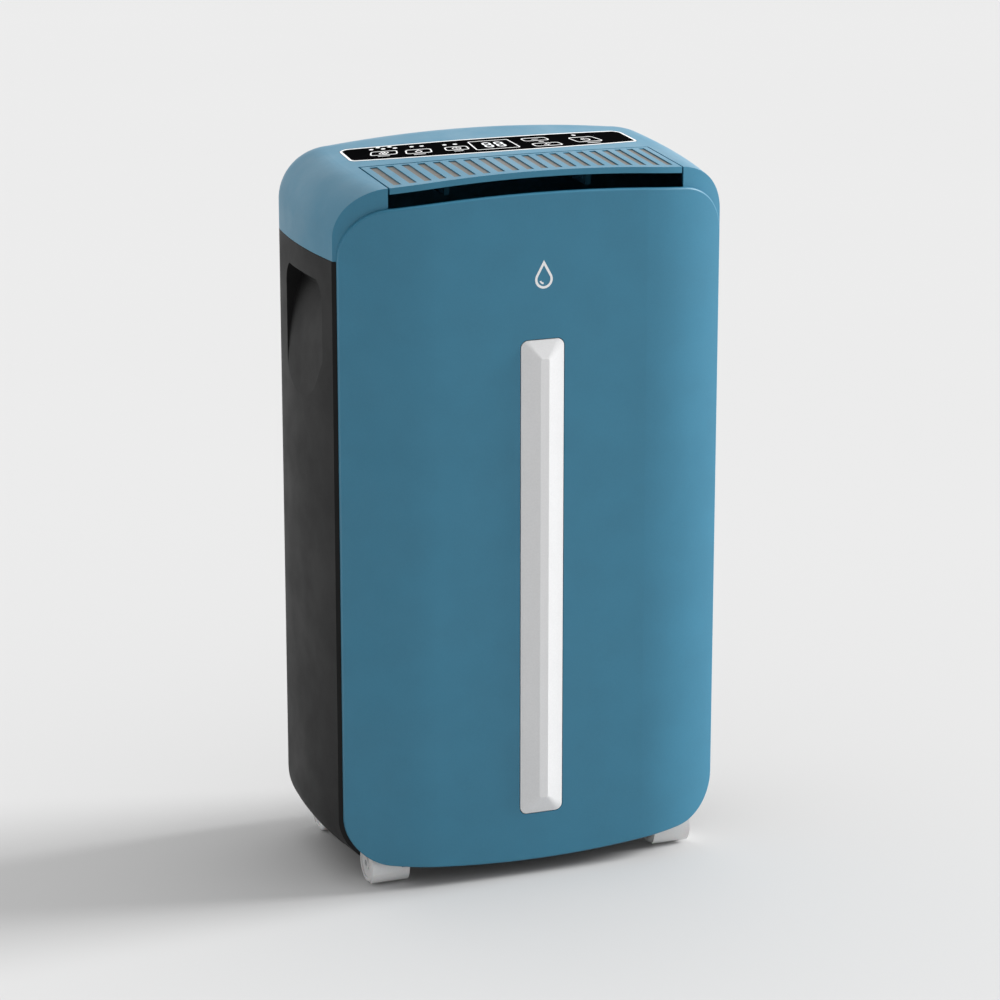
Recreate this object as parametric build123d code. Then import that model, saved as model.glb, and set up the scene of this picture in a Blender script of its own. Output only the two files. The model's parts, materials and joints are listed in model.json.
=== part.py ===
from build123d import *
import os
from math import asin, cos, sin, sqrt

# Portable dehumidifier on four twin-wheel casters, in millimetres.
# X runs to the right seen from the front, the front faces -Y, Z is up and the floor is Z = 0.
# Y = 0 is half way between the front and the rear wheels.

# ------------------------------------------------------------------ overall sizes
body_width = 377.0
body_back = 113.7            # rear face, behind the mid line between the wheels
panel_front = 107.2          # most forward line of the front panel, before that mid line
panel_height = 620.1
panel_bottom = 14.5          # lowest point of the front panel above the floor
side_radius = 561.0          # the sides bulge on this radius, seen from above
side_mid_y = 4.5
rear_corner_radius = 50.0
bottom_corner_radius = 45.0
shoulder_radius = 46.0
body_bottom = 20.0
wall = 2.5
seam = 0.4                   # gap between two covers that meet

# ------------------------------------------------------------------ front panel
panel_side_inset = 8.5       # from the widest line of the body to the panel's edge
panel_end_width = 80.0       # width of the more curved stretch at each side
panel_centre_radius = 2500.0
panel_end_radius = 174.0
panel_top_arch = 11.6        # rise of the upper edge from corner to middle
panel_bottom_arch = 14.5     # the same of the lower edge, downwards
panel_corner_radius = 45.0
panel_thickness = 4.2
panel_edge_radius = 1.8
cap_setback = 4.7            # front face of the top cover behind the panel's face
frame_setback = 6.0          # front frame behind the panel's face
panel_pad_radius = 7.0
panel_pad_x = 120.0

# ------------------------------------------------------------------ top cover and outlet
cap_above_panel = 18.7       # top cover above the panel, in the middle of its front edge
cap_overlap = 53.6           # from the panel's top down to the seam with the casings
top_arch_radius = 1200.0
top_slope = 0.048            # rise of the top towards the rear
outlet_width = 276.4
outlet_rear_mid = 39.0       # rear edge of the outlet before Y = 0, in the middle
outlet_rear_end = 13.4       # the same at the two ends
flap_side_gap = 1.6
flap_skin = 2.5
flap_rim = 5.5
flap_rim_width = 3.0
slot_count = 20
slot_side_margin = 4.2       # solid strip at each end of the row of slots
slot_width = 6.6
slot_front_margin = 8.0
slot_rear_margin = 4.0
insert_recess = 0.9          # face of the insert below the flap's face
insert_plate = 1.6
insert_fit = 0.1
insert_rear_gap = 2.5
flap_hinge_y = -10.0
flap_hinge_depth = 7.5       # hinge line below the top, where the hinge arms are
flap_hinge_slots = 5         # the hinge arms hang from the bars this many slots from the middle
# side view of a hinge arm: distance behind and above the hinge line
hinge_arm_outline = [(3.0, -0.5), (0.5, -15.0), (-5.0, -22.0), (-35.0, -22.0), (-39.0, 1.0), (-39.0, 9.0),
                     (-30.0, 9.0), (-29.0, -17.5), (-8.5, -17.5), (-3.1, -0.5)]
hinge_arm_room = 2.0         # notch in the insert before the arm
hinge_arm_width = 5.0
hinge_barrel_radius = 3.2
hinge_pin_radius = 1.5
hinge_pin_play = 0.05
hinge_lug_gap = 0.4
hinge_lug_width = 3.0
hinge_lug_depth = 6.0        # behind the hinge line
hinge_lug_height = 12.0

# ------------------------------------------------------------------ control strip
strip_front_mid = -25.5
strip_front_end = 8.0
strip_rear_mid = 28.0
strip_rear_end = 52.5
strip_front_half = 138.0
strip_rear_half = 136.0
strip_corner_radius = 8.0
overlay_thickness = 1.2
overlay_fit = 0.15
strip_pocket_floor = 1.8
control_board_size = (236.0, 14.0, 1.6)
control_board_drop = 16.0
board_post_x = 100.0
board_post_radius = 3.0
display_size = (46.0, 12.0, 7.0)

# ------------------------------------------------------------------ casings and rear
split_x = 131.0              # seams between the casings and the front and rear pieces
grip_top = 24.0              # ceiling of the grip below the seam with the top cover
grip_height = 127.0
grip_depth = 18.5
grip_undercut = 4.0
# depth of the grip's floor and how far below its ceiling
grip_floor = [(16.6, 13.0), (11.2, 27.0), (6.4, 45.0), (3.4, 65.0), (1.4, 95.0), (-1.5, 124.0)]
grip_front = -52.0
grip_rear = 45.0
grip_corner_radius = 22.0
flange_reach = 18.0          # screw flange of each casing behind the rear cover
grille_width = 216.0
grille_below_cover = 23.7    # from the seam with the top cover down to the grille
grille_above_deck = 34.0
grille_frame = 10.0
grille_thickness = 5.0
grille_depth = 8.0
grille_lip = 3.0             # ledge round the opening behind the grille
slat_pitch = 9.0
slat_thickness = 2.2
filter_fit = 0.5
filter_mesh_thickness = 1.0

# ------------------------------------------------------------------ light bar
bar_width = 40.5
bar_bottom = 60.3
bar_height = 443.0
bar_flat_width = 8.0
bar_rise = 6.5
bar_corner_radius = 6.5
bar_gap = 0.7
bar_rear_gap = 1.0           # between the lens and the front frame
bar_web = 1.5
led_board_width = 14.0
led_board_thickness = 1.2
led_board_margin = 12.0
led_count = 22
led_size = 3.6
led_height = 1.0

# ------------------------------------------------------------------ casters
wheel_radius = 18.0
wheel_width = 11.5
wheel_gauge = 24.0           # between the middles of the two wheels of a caster
wheel_edge_radius = 2.5
wheel_well_gap = 0.8         # between the tread and the hood
hood_wall = 1.6
caster_web = 11.7
caster_inset = 49.9          # swivel axis inside the widest line of the body
caster_front_gap = 17.8      # from the most forward line of the panel to the hood
caster_trail = 8.0
fender_lift = 8.0            # inner side of the hood starts this far above the axle
skirt_gap = 3.0              # outer side of the hood above the floor
collar_gap = 0.4
axle_radius = 3.0
axle_play = 0.05
stem_radius = 5.0
stem_play = 0.05
stem_length = 14.0
stem_collar_radius = 9.0
swivel_gap = 2.4
swivel_clearance = 1.5
boss_wall = 5.0

# ------------------------------------------------------------------ base and deck
base_fit = 0.3
base_plate = 3.0
base_skirt = 3.0
base_rib = 3.0
base_cross_rib = 200.0       # length from left to right
base_long_rib = 160.0        # length from front to rear
base_screw_x = 60.0
base_screw_y = 55.0
deck_thickness = 4.0
tank_zone = 46.0             # free height above the tank, for its handle
tank_front_y = 8.0

# ------------------------------------------------------------------ water tank
tank_height = 158.0
tank_lift = 1.5              # tank above the base plate
tank_wall = 2.5
tank_side_gap = 1.4
tank_corner_radius = 10.0
tank_bottom_chamfer = 4.0
tank_lid_thickness = 3.0
tank_grip_width = 110.0
tank_grip_height = 26.0
tank_grip_depth = 16.0
handle_arm = 34.0
handle_half = 92.0
handle_thickness = 6.0
handle_pin_radius = 3.0
handle_play = 0.06
handle_lug = 6.0
handle_lug_gap = 0.4         # between the handle's arm and its lug
handle_lug_reach = 4.5       # above the pivot
lid_play = 0.3
plug_depth = 3.0             # the lid's rim that reaches into the tank
plug_wall = 2.0
handle_y = 78.0
float_x = -60.0
float_pivot_y = 66.0
float_drop = 22.0
float_size = (34.0, 20.0, 16.0)
float_arm = 34.0
float_arm_width = 4.0
float_pivot_drop = 8.0       # below the tank's top edge
float_eye_radius = 3.4
float_pin_radius = 1.5
float_play = 0.06
float_lug = 3.0
float_lug_gap = 0.5
float_lug_reach = 4.5
fill_hole_radius = 14.0

# ------------------------------------------------------------------ refrigeration circuit
compressor_radius = 44.0
compressor_height = 150.0
compressor_x = -78.0
compressor_y = -44.0
compressor_dome = 16.0
terminal_cover_size = (26.0, 24.0, 12.0)
terminal_cover_offset = 9.0
discharge_offset = 16.0       # discharge stub from the compressor's axis
foot_plate_size = (134.0, 78.0, 3.0)
foot_x = 57.0
foot_y = 29.0
foot_radius = 8.0
foot_height = 12.0
foot_bolt_radius = 2.5
foot_neck_radius = 4.0       # of the rubber foot, inside the plate's hole
foot_neck_height = 3.0
bolt_head_radius = 6.0
bolt_head_height = 4.0
accumulator_radius = 15.0
accumulator_height = 96.0
accumulator_gap = 6.0
coil_width = 222.0
coil_height = 262.0
coil_depth = 20.0
coil_gap = 8.0
coil_front_y = 34.0
coil_tube_radius = 3.5
coil_rows = 8
coil_overhang = 10.0
pipe_radius = 4.0
pipe_bend = 12.0
riser_x = 150.0
suction_x = 166.0
suction_y = -20.0
capillary_radius = 1.5
drip_wall = 2.0
drip_depth = 16.0
drip_margin = 6.0
drip_spout_radius = 7.0

# ------------------------------------------------------------------ fan
scroll_radius = 102.0
scroll_wall = 2.5
scroll_front_y = -46.0
scroll_rear_y = 22.0
scroll_inlet_radius = 62.0
scroll_neck_half = 96.0
scroll_neck_rise = 16.0
scroll_foot_x = 60.0
scroll_foot = 10.0
impeller_radius = 84.0
impeller_width = 46.0
impeller_eye_radius = 60.0
impeller_back = 3.0
impeller_gap = 6.0           # from the scroll's front wall
blade_count = 30
blade_thickness = 1.6
blade_pitch = 35.0           # degrees
fan_hub_radius = 12.0
fan_hub_length = 24.0
fan_shaft_radius = 4.0
fan_shaft_play = 0.06
motor_radius = 38.0
motor_length = 34.0
duct_wall = 2.0
duct_top_drop = 28.0         # rim of the outlet duct below the outlet's front edge
duct_side_gap = 3.0
duct_front_gap = 9.0
duct_rear_gap = 15.0         # rim of the duct before the flap's hinge line
guard_pitch = 12.0
guard_height = 3.0
guard_frame = 3.0
guard_wire = 1.6

# ------------------------------------------------------------------ electronics, fittings
box_size = (112.0, 62.0, 150.0)
box_x = 84.0
box_y = -50.0
box_wall = 2.0
vent_count = 6
vent_margin = 20.0
vent_pitch = 8.0
vent_height = 3.0
board_thickness = 1.6
# left edge, lower edge, width, height and depth of the larger parts on the board
board_parts = [(10, 14, 22, 18, 16), (38, 16, 14, 30, 12), (12, 50, 26, 24, 20), (46, 62, 30, 16, 8),
               (14, 96, 34, 20, 10), (58, 98, 18, 22, 14)]
capacitor_radius = 16.0
capacitor_height = 70.0
fitting_z = 10.0             # drain spigot and cord gland above the deck
fitting_x = 94.0
spigot_radius = 6.0
spigot_bore = 4.2
spigot_length = 14.0
spigot_recess_radius = 12.0
gland_radius = 10.0
gland_bore = 4.2
gland_length = 16.0
screw_radius = 1.9
screw_head_radius = 3.6
screw_head_height = 2.2
screw_length = 12.0

# ------------------------------------------------------------------ worked out
half = body_width / 2
panel_half = half - panel_side_inset
panel_top = panel_bottom + panel_height
parting_z = panel_top - cap_overlap
cap_front_top = panel_top + cap_above_panel
panel_flat_half = panel_half - panel_end_width
end_angle = asin(panel_flat_half / panel_centre_radius)
end_centre_x = (panel_centre_radius - panel_end_radius) * sin(end_angle)
end_centre_y = -panel_front + panel_centre_radius
end_centre_y -= (panel_centre_radius - panel_end_radius) * cos(end_angle)
axle_z = wheel_radius
hood_inner = wheel_radius + wheel_well_gap
hood_outer = hood_inner + hood_wall
hood_top = axle_z + hood_outer
caster_y = panel_front - caster_front_gap - hood_outer - caster_trail
caster_x = half - caster_inset
well_ceiling = hood_top + swivel_gap
base_top = well_ceiling + stem_length + base_plate
tank_bottom = base_top + tank_lift
tank_top = tank_bottom + tank_height
deck_bottom = tank_top + tank_zone
deck_top = deck_bottom + deck_thickness
grille_height = parting_z - grille_below_cover - deck_top - grille_above_deck
fender_reach = caster_trail + hood_outer
well_radius = sqrt(fender_reach ** 2 + (wheel_gauge / 2 + wheel_width / 2) ** 2)
well_radius += swivel_clearance
outlet_half = outlet_width / 2
slot_pitch = (outlet_width - 2 * slot_side_margin) / slot_count
flap_hinge_x = flap_hinge_slots * slot_pitch
above_top = cap_front_top + 40
flap_half = outlet_half - flap_side_gap
corners = [("front_left", -1, -1), ("front_right", 1, -1), ("rear_left", -1, 1), ("rear_right", 1, 1)]


# ------------------------------------------------------------------ general shapes
def block(x0, x1, y0, y1, z0, z1):
    """Block between two values of each axis."""
    return Pos((x0 + x1) / 2, (y0 + y1) / 2, (z0 + z1) / 2) * Box(x1 - x0, y1 - y0, z1 - z0)


def rod_x(radius, x0, x1, y, z):
    """Round rod along X, from x0 to x1; rod_y and rod_z are alike."""
    return Pos((x0 + x1) / 2, y, z) * Rot(0, 90, 0) * Cylinder(radius, abs(x1 - x0))


def rod_y(radius, y0, y1, x, z):
    return Pos(x, (y0 + y1) / 2, z) * Rot(90, 0, 0) * Cylinder(radius, abs(y1 - y0))


def rod_z(radius, z0, z1, x, y):
    return Pos(x, y, (z0 + z1) / 2) * Cylinder(radius, abs(z1 - z0))


def along_z(face, z0, z1):
    """Prism of a face drawn on the floor plane."""
    return Pos(0, 0, z0) * extrude(face, amount=z1 - z0, dir=(0, 0, 1))


def side_profile(points, x0, x1):
    """Prism along X of a YZ outline."""
    outline = Face(Wire.make_polygon([(x0, y, z) for y, z in points]))
    return extrude(outline, amount=x1 - x0, dir=(1, 0, 0))


def mirrored(shape):
    return mirror(shape, about=Plane.YZ)


def group(shapes):
    """Separate solids kept in one sub-part."""
    return Compound(children=[solid for shape in shapes for solid in shape.solids()])


def tube(points, radius, bend):
    """Round rod or pipe along straight runs joined by arcs."""
    path = FilletPolyline(*points, radius=bend)
    start = Plane(origin=path @ 0, z_dir=path % 0)
    return sweep(start * Circle(radius), path=path)


# ------------------------------------------------------------------ the body's own surfaces
def curve_point(angle, radius, x, y):
    return (x + radius * sin(angle), y - radius * cos(angle))


def front_curve(setback, reach):
    """Three arcs of the bowed front, seen from above, from -reach to reach."""
    centre_radius = panel_centre_radius - setback
    end_radius = panel_end_radius - setback
    centre_y = panel_centre_radius - panel_front
    last = asin((reach - end_centre_x) / end_radius)
    joint = curve_point(end_angle, centre_radius, 0, centre_y)
    middle = curve_point((end_angle + last) / 2, end_radius, end_centre_x, end_centre_y)
    tip = curve_point(last, end_radius, end_centre_x, end_centre_y)
    nose = (0, -panel_front + setback)
    left = [(-x, y) for x, y in (tip, middle, joint)]
    return [
        ThreePointArc(left[0], left[1], left[2]),
        ThreePointArc(left[2], nose, joint),
        ThreePointArc(joint, middle, tip),
    ]


def front_region(setback, reach, rear):
    """Everything behind the bowed front as far as `rear`."""
    arcs = front_curve(setback, reach)
    left = arcs[0] @ 0
    right = arcs[2] @ 1
    sides = Polyline((right.X, right.Y), (reach, rear), (-reach, rear), (left.X, left.Y))
    return make_face(arcs + sides.edges())


def front_y(x, setback):
    """Y of the bowed front at x."""
    if abs(x) <= panel_flat_half:
        radius = panel_centre_radius - setback
        return panel_centre_radius - panel_front - sqrt(radius ** 2 - x ** 2)
    radius = panel_end_radius - setback
    return end_centre_y - sqrt(radius ** 2 - (abs(x) - end_centre_x) ** 2)


def plan(setback, inset):
    """Outline of the body seen from above."""
    front = front_region(setback, half + 2, body_back - inset)
    centre = half - side_radius
    left = Pos(-centre, side_mid_y) * Circle(side_radius - inset)
    right = Pos(centre, side_mid_y) * Circle(side_radius - inset)
    outline = front & left & right
    rear = outline.vertices().sort_by(Axis.Y)[-2:]
    return fillet(rear, radius=rear_corner_radius - inset)


def rear_rim(solid, z0, z1):
    """Edges round the sides and the rear of a solid, between two heights."""
    rim = []
    for edge in solid.edges():
        size = edge.bounding_box().size
        middle = edge.center()
        if z0 < middle.Z < z1 and size.Z < 16 and middle.Y > -60:
            rim.append(edge)
    return rim


def lower_block(setback, inset):
    """The body below the top cover, drawn in by `inset`."""
    bottom = body_bottom + inset
    shape = along_z(plan(setback, inset), bottom, parting_z)
    return fillet(rear_rim(shape, bottom - 1, bottom + 1), radius=bottom_corner_radius - inset)


def top_prism(depth, half_span, y0, y1):
    """All below the arched and sloping top, `depth` under it."""
    centre_z = cap_front_top - top_arch_radius + top_slope * (y0 + panel_front - cap_setback)
    radius = top_arch_radius - depth
    edge_z = centre_z + sqrt(radius ** 2 - half_span ** 2)
    low = parting_z - 60
    arc = ThreePointArc((half_span, y0, edge_z), (0, y0, centre_z + radius), (-half_span, y0, edge_z))
    sides = Polyline(
        (-half_span, y0, edge_z), (-half_span, y0, low), (half_span, y0, low), (half_span, y0, edge_z))
    outline = make_face([arc] + sides.edges())
    return extrude(outline, amount=(y1 - y0) * sqrt(1 + top_slope ** 2), dir=(0, 1, top_slope))


def top_z(x, y, depth=0.0):
    """Height of the top at a point of the plan."""
    rise = top_slope * (y + panel_front - cap_setback)
    return cap_front_top - top_arch_radius + rise + sqrt((top_arch_radius - depth) ** 2 - x ** 2)


def cap_block(inset):
    """The top cover's outer form, drawn in by `inset`."""
    tall = along_z(plan(cap_setback + inset, inset), parting_z, above_top)
    shape = tall & top_prism(inset, half + 12, -panel_front - 10, body_back + 10)
    rim = rear_rim(shape, parting_z + 20, cap_front_top + 60)
    return fillet(rim, radius=shoulder_radius - inset)


def top_layer(upper, lower):
    """Layer of the top between two depths."""
    span = half + 12
    return top_prism(upper, span, -panel_front - 10, body_back) - top_prism(
        lower, span + 2, -panel_front - 12, body_back + 2)


def arc_band(front_mid, front_end, front_half, rear_mid, rear_end, rear_half):
    """Plan area between two arcs."""
    front = ThreePointArc((-front_half, front_end), (0, front_mid), (front_half, front_end))
    rear = ThreePointArc((rear_half, rear_end), (0, rear_mid), (-rear_half, rear_end))
    right = Line((front_half, front_end), (rear_half, rear_end))
    left = Line((-rear_half, rear_end), (-front_half, front_end))
    return make_face([front, right, rear, left])


def outlet_region(grow, front_setback):
    """Plan area of the outlet, larger all round by `grow`."""
    span = outlet_half + grow
    bow = (outlet_rear_mid - outlet_rear_end) / outlet_half ** 2
    end = -outlet_rear_end - 2 * bow * outlet_half * grow + grow
    rear = ThreePointArc((span, end), (0, -outlet_rear_mid + grow), (-span, end))
    front = -panel_front - 20
    sides = Polyline((-span, end), (-span, front), (span, front), (span, end))
    area = make_face([rear] + sides.edges())
    return area & front_region(front_setback, half + 2, body_back)


# ------------------------------------------------------------------ front panel and light bar
def panel_outline(grow=0.0):
    """Front view of the panel: arched upper and lower edges, rounded corners."""
    span = panel_half + grow
    top = panel_top + grow
    low = panel_bottom - grow
    high_end = top - panel_top_arch
    low_end = low + panel_bottom_arch
    with BuildSketch(Plane.XZ) as outline:
        with BuildLine():
            ThreePointArc((-span, high_end), (0, top), (span, high_end))
            Line((span, high_end), (span, low_end))
            ThreePointArc((span, low_end), (0, low), (-span, low_end))
            Line((-span, low_end), (-span, high_end))
        make_face()
        fillet(outline.vertices(), radius=panel_corner_radius)
    return outline.sketch


def front_layer(setback, thickness, z0, z1):
    """Curved sheet parallel to the bowed front."""
    outer = front_region(setback, panel_half + 6, 0)
    inner = front_region(setback + thickness, panel_half + 8, 1)
    return along_z(outer - inner, z0, z1)


def make_front_panel():
    outline = extrude(panel_outline(), amount=panel_front + 20, dir=(0, -1, 0))
    panel = front_layer(0, panel_thickness, panel_bottom - 5, panel_top + 5) & outline
    front_rim = [
        edge for edge in panel.edges()
        if abs(edge.center().Y - front_y(min(abs(edge.center().X), panel_half), 0)) < 1.2
    ]
    panel = fillet([edge for edge in front_rim if edge.length > 20], radius=panel_edge_radius)
    for x in (-panel_pad_x, panel_pad_x):
        for z in (panel_bottom + 70, (panel_bottom + panel_top) / 2, parting_z - 25):
            start = front_y(x, panel_thickness) - 1
            pad = rod_y(panel_pad_radius, start, start + 20, x, z)
            pad_room = front_layer(panel_thickness - 0.5, frame_setback - panel_thickness + 0.5, 0, panel_top)
            panel += pad & pad_room
    opening = Pos(0, -panel_front, bar_bottom + bar_height / 2) * Rot(90, 0, 0) * extrude(
        RectangleRounded(bar_width + 2 * bar_gap, bar_height + 2 * bar_gap, bar_corner_radius + bar_gap),
        amount=20, both=True)
    return panel - opening


def bar_section(width, height, radius, y):
    """Rounded section of the light bar in the plane at y."""
    place = Plane(origin=(0, y, bar_bottom + bar_height / 2), x_dir=(1, 0, 0), z_dir=(0, -1, 0))
    return place * RectangleRounded(width, height, radius)


def make_light_bar():
    face = -panel_front
    slope_run = (bar_width - bar_flat_width) / 2
    crown = loft([
        bar_section(bar_width, bar_height, bar_corner_radius, face),
        bar_section(bar_flat_width, bar_height - 2 * slope_run, 2.0, face - bar_rise),
    ])
    shank = extrude(bar_section(bar_width, bar_height, bar_corner_radius, face),
                    amount=frame_setback - bar_rear_gap, dir=(0, 1, 0))
    inside = bar_section(bar_width - 2 * bar_web, bar_height - 2 * bar_web, bar_corner_radius - bar_web, face)
    hollow = extrude(inside, amount=frame_setback, dir=(0, 1, 0))
    return crown + shank - Pos(0, bar_web, 0) * hollow


def make_light_board():
    y = -panel_front + frame_setback - led_board_thickness
    z0 = bar_bottom + led_board_margin
    z1 = bar_bottom + bar_height - led_board_margin
    board = block(-led_board_width / 2, led_board_width / 2, y, y + led_board_thickness, z0, z1)
    pitch = (z1 - z0) / led_count
    for i in range(led_count):
        z = z0 + pitch * (i + 0.5)
        reach = led_size / 2
        board += block(-reach, reach, y - led_height, y + 0.2, z - reach, z + reach)
    return board


# ------------------------------------------------------------------ top cover, flap, controls
def strip_region(shrink):
    """Plan area of the control strip with its rounded corners, drawn in by `shrink`."""
    band = arc_band(
        strip_front_mid + shrink, strip_front_end + shrink, strip_front_half - shrink,
        strip_rear_mid - shrink, strip_rear_end - shrink, strip_rear_half - shrink)
    return fillet(band.vertices(), radius=strip_corner_radius - shrink)


def hinge_z():
    return top_z(flap_hinge_x, flap_hinge_y - 14) - flap_hinge_depth


def make_top_cover():
    shell = cap_block(0) - cap_block(wall)
    shell -= block(-half, half, -panel_front, body_back, parting_z - 5, parting_z + 0.01)
    floor_depth = overlay_thickness + strip_pocket_floor
    shell += top_layer(wall - 0.2, floor_depth) & along_z(strip_region(-2.0), parting_z, above_top)
    shell -= top_layer(-5.0, overlay_thickness) & along_z(strip_region(-overlay_fit), parting_z, above_top)
    sill = extrude(panel_outline(-1.5), amount=panel_front + 20, dir=(0, -1, 0))
    opening = along_z(outlet_region(0, cap_setback - 10), panel_top - 30, above_top)
    opening -= sill
    shell -= opening
    z = hinge_z()
    for side in (-1, 1):
        for step in (-1, 1):
            x = side * flap_hinge_x + step * (hinge_arm_width / 2 + hinge_lug_gap + hinge_lug_width / 2)
            reach = hinge_lug_width / 2
            lug = rod_x(hinge_barrel_radius, x - reach, x + reach, flap_hinge_y, z)
            lug += block(x - reach, x + reach, flap_hinge_y - hinge_barrel_radius,
                         flap_hinge_y + hinge_lug_depth, z, z + hinge_lug_height)
            shell += lug & top_prism(wall - 0.3, half, -panel_front, body_back)
    board_y, board_z = control_board_place()
    for x in (-board_post_x, board_post_x):
        post = rod_z(board_post_radius, board_z, board_z + 40, x, board_y)
        shell += post & top_prism(wall - 0.3, half, -panel_front, body_back)
    shell -= rod_x(hinge_pin_radius, -flap_hinge_x - 8, flap_hinge_x + 8, flap_hinge_y, z) - block(
        -flap_hinge_x + 8, flap_hinge_x - 8, -panel_front, body_back, z - 5, z + 5)
    return shell


def flap_region(inset, rear_margin, front_margin):
    """Plan area of the flap, drawn in from its sides, rear and front."""
    span = flap_half - inset
    bow = (outlet_rear_mid - outlet_rear_end) / outlet_half ** 2
    middle = -outlet_rear_mid - rear_margin
    end = middle + bow * span ** 2
    rear = ThreePointArc((span, end), (0, middle), (-span, end))
    front = -panel_front - 20
    sides = Polyline((-span, end), (-span, front), (span, front), (span, end))
    area = make_face([rear] + sides.edges())
    return area & front_region(cap_setback + front_margin, half + 2, body_back)


def slot_strips(shrink):
    """The flap's slots as separate prisms, narrower by `shrink` on every side."""
    area = along_z(flap_region(2.0, flap_side_gap + slot_rear_margin + shrink, slot_front_margin + shrink),
                   parting_z, above_top)
    strips = []
    first = -(slot_count - 1) / 2
    for i in range(slot_count):
        x = (first + i) * slot_pitch
        reach = slot_width / 2 - shrink
        strips.append(area & block(x - reach, x + reach, -panel_front, 0, parting_z, above_top))
    return strips


def make_outlet_flap():
    whole = along_z(flap_region(0, flap_side_gap + 0.4, 0), parting_z, above_top)
    pocket = along_z(flap_region(flap_rim_width, flap_side_gap - 6.0, flap_rim_width),
                     parting_z, above_top)
    flap = top_layer(0, flap_skin) & whole
    flap += (top_layer(flap_skin - 0.2, flap_rim) & whole) - pocket
    for strip in slot_strips(0):
        flap -= strip
    for x in (-flap_hinge_x, flap_hinge_x):
        flap += hinge_arm(x)
    return flap


def hinge_arm(x):
    """Goose-neck arm from under the flap to the hinge line behind it."""
    y = flap_hinge_y
    z = hinge_z()
    outline = [(y + behind, z + above) for behind, above in hinge_arm_outline]
    arm = side_profile(outline, x - hinge_arm_width / 2, x + hinge_arm_width / 2)
    arm += rod_x(hinge_barrel_radius, x - hinge_arm_width / 2, x + hinge_arm_width / 2, y, z)
    arm -= rod_x(hinge_pin_radius + hinge_pin_play, x - 5, x + 5, y, z)
    return arm & top_prism(flap_skin - 0.2, half, -panel_front, body_back)


def make_flap_insert():
    below = insert_plate + flap_skin
    inset = flap_rim_width + insert_fit
    sheet = along_z(flap_region(inset, flap_side_gap + insert_rear_gap, inset), parting_z, above_top)
    plate = top_layer(flap_skin, below) & sheet
    arm_front = flap_hinge_y + min(behind for behind, _ in hinge_arm_outline) - hinge_arm_room
    for x in (-flap_hinge_x, flap_hinge_x):
        reach = hinge_arm_width / 2 + 0.3
        plate -= block(x - reach, x + reach, arm_front, 0, parting_z, above_top)
    for strip in slot_strips(insert_fit):
        rib = top_layer(insert_recess, flap_skin + 0.2) & strip
        plate += rib
    return plate


def make_hinge_pins():
    reach = hinge_arm_width / 2 + hinge_lug_gap + hinge_lug_width
    z = hinge_z()
    return group([
        rod_x(hinge_pin_radius, x - reach, x + reach, flap_hinge_y, z)
        for x in (-flap_hinge_x, flap_hinge_x)
    ])


def make_control_overlay():
    return top_layer(0, overlay_thickness) & along_z(strip_region(0), parting_z, above_top)


def control_board_place():
    """Y of the control board's middle and Z of its upper face."""
    y = (strip_front_mid + strip_rear_mid) / 2 + 12
    return y, top_z(control_board_size[0] / 2, y) - control_board_drop


def make_control_board():
    width, depth, thickness = control_board_size
    y, z = control_board_place()
    return block(-width / 2, width / 2, y - depth / 2, y + depth / 2, z - thickness, z)


def make_number_display():
    width, depth, height = display_size
    y, z = control_board_place()
    return block(-width / 2, width / 2, y - depth / 2, y + depth / 2, z, z + height)


# ------------------------------------------------------------------ casings and covers
def grip_outline(grow):
    """Section of the right grip: an undercut ceiling and a floor that runs out downwards."""
    ceiling = parting_z - grip_top
    floor = [(half - depth - grow, ceiling - drop) for depth, drop in grip_floor]
    start = (half + 6, ceiling + grow)
    top = (half - grip_depth - grow, ceiling + grip_undercut + grow)
    end = (half + 6, ceiling - grip_height - grow)
    with BuildSketch(Plane.XZ) as outline:
        with BuildLine():
            Polyline(start, top, floor[0])
            Spline(*floor)
            Polyline(floor[-1], end, start)
        make_face()
    return outline.sketch


def grip_prism(grow):
    """The right grip's hollow, larger all round by `grow`."""
    front = grip_front - grow
    rear = grip_rear + grow
    prism = Pos(0, front, 0) * extrude(grip_outline(grow), amount=rear - front, dir=(0, 1, 0))
    ceiling = parting_z - grip_top + grip_undercut + grow
    height = grip_height + grip_undercut + 2 * grow
    window = Plane.YZ * Pos((front + rear) / 2, ceiling - height / 2) * RectangleRounded(
        rear - front, height, grip_corner_radius + grow)
    return prism & extrude(window, amount=half + 10)


def caster_wells():
    """Room in which the casters turn."""
    wells = []
    for _, side, end in corners:
        wells.append(rod_z(well_radius, 0, well_ceiling, side * caster_x, end * caster_y))
    return wells


def make_right_casing(shell, outer):
    casing = shell & block(split_x + seam / 2, half + 5, -panel_front, body_back + 1, 0, parting_z - seam)
    casing += grip_prism(wall) & outer
    casing -= grip_prism(0)
    flange_rear = body_back - wall - base_fit
    casing += block(split_x - flange_reach, split_x + 4, flange_rear - wall, flange_rear,
                    deck_bottom, parting_z - 2)
    casing += block(split_x + 2, split_x + 5, flange_rear - wall, body_back - 1, deck_bottom, parting_z - 2)
    for well in caster_wells():
        casing -= well
    for z in rear_screw_heights():
        casing -= rod_y(screw_radius, flange_rear - 10, flange_rear + 1, rear_screw_x(), z)
    return casing


def rear_screw_x():
    return split_x - flange_reach / 2


def rear_screw_heights():
    return (deck_top + 7, parting_z - 9)


def make_front_frame(shell):
    reach = split_x - seam / 2
    frame = shell & block(
        -reach, reach, -panel_front, -panel_front + 28, body_bottom + wall + seam, parting_z - seam)
    slot_z = bar_bottom + bar_height / 2
    slot = Pos(0, -panel_front, slot_z) * Rot(90, 0, 0) * extrude(
        RectangleRounded(led_board_width + 4, bar_height - 20, 4), amount=30, both=True)
    for well in caster_wells():
        frame -= well
    return frame - slot


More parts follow.
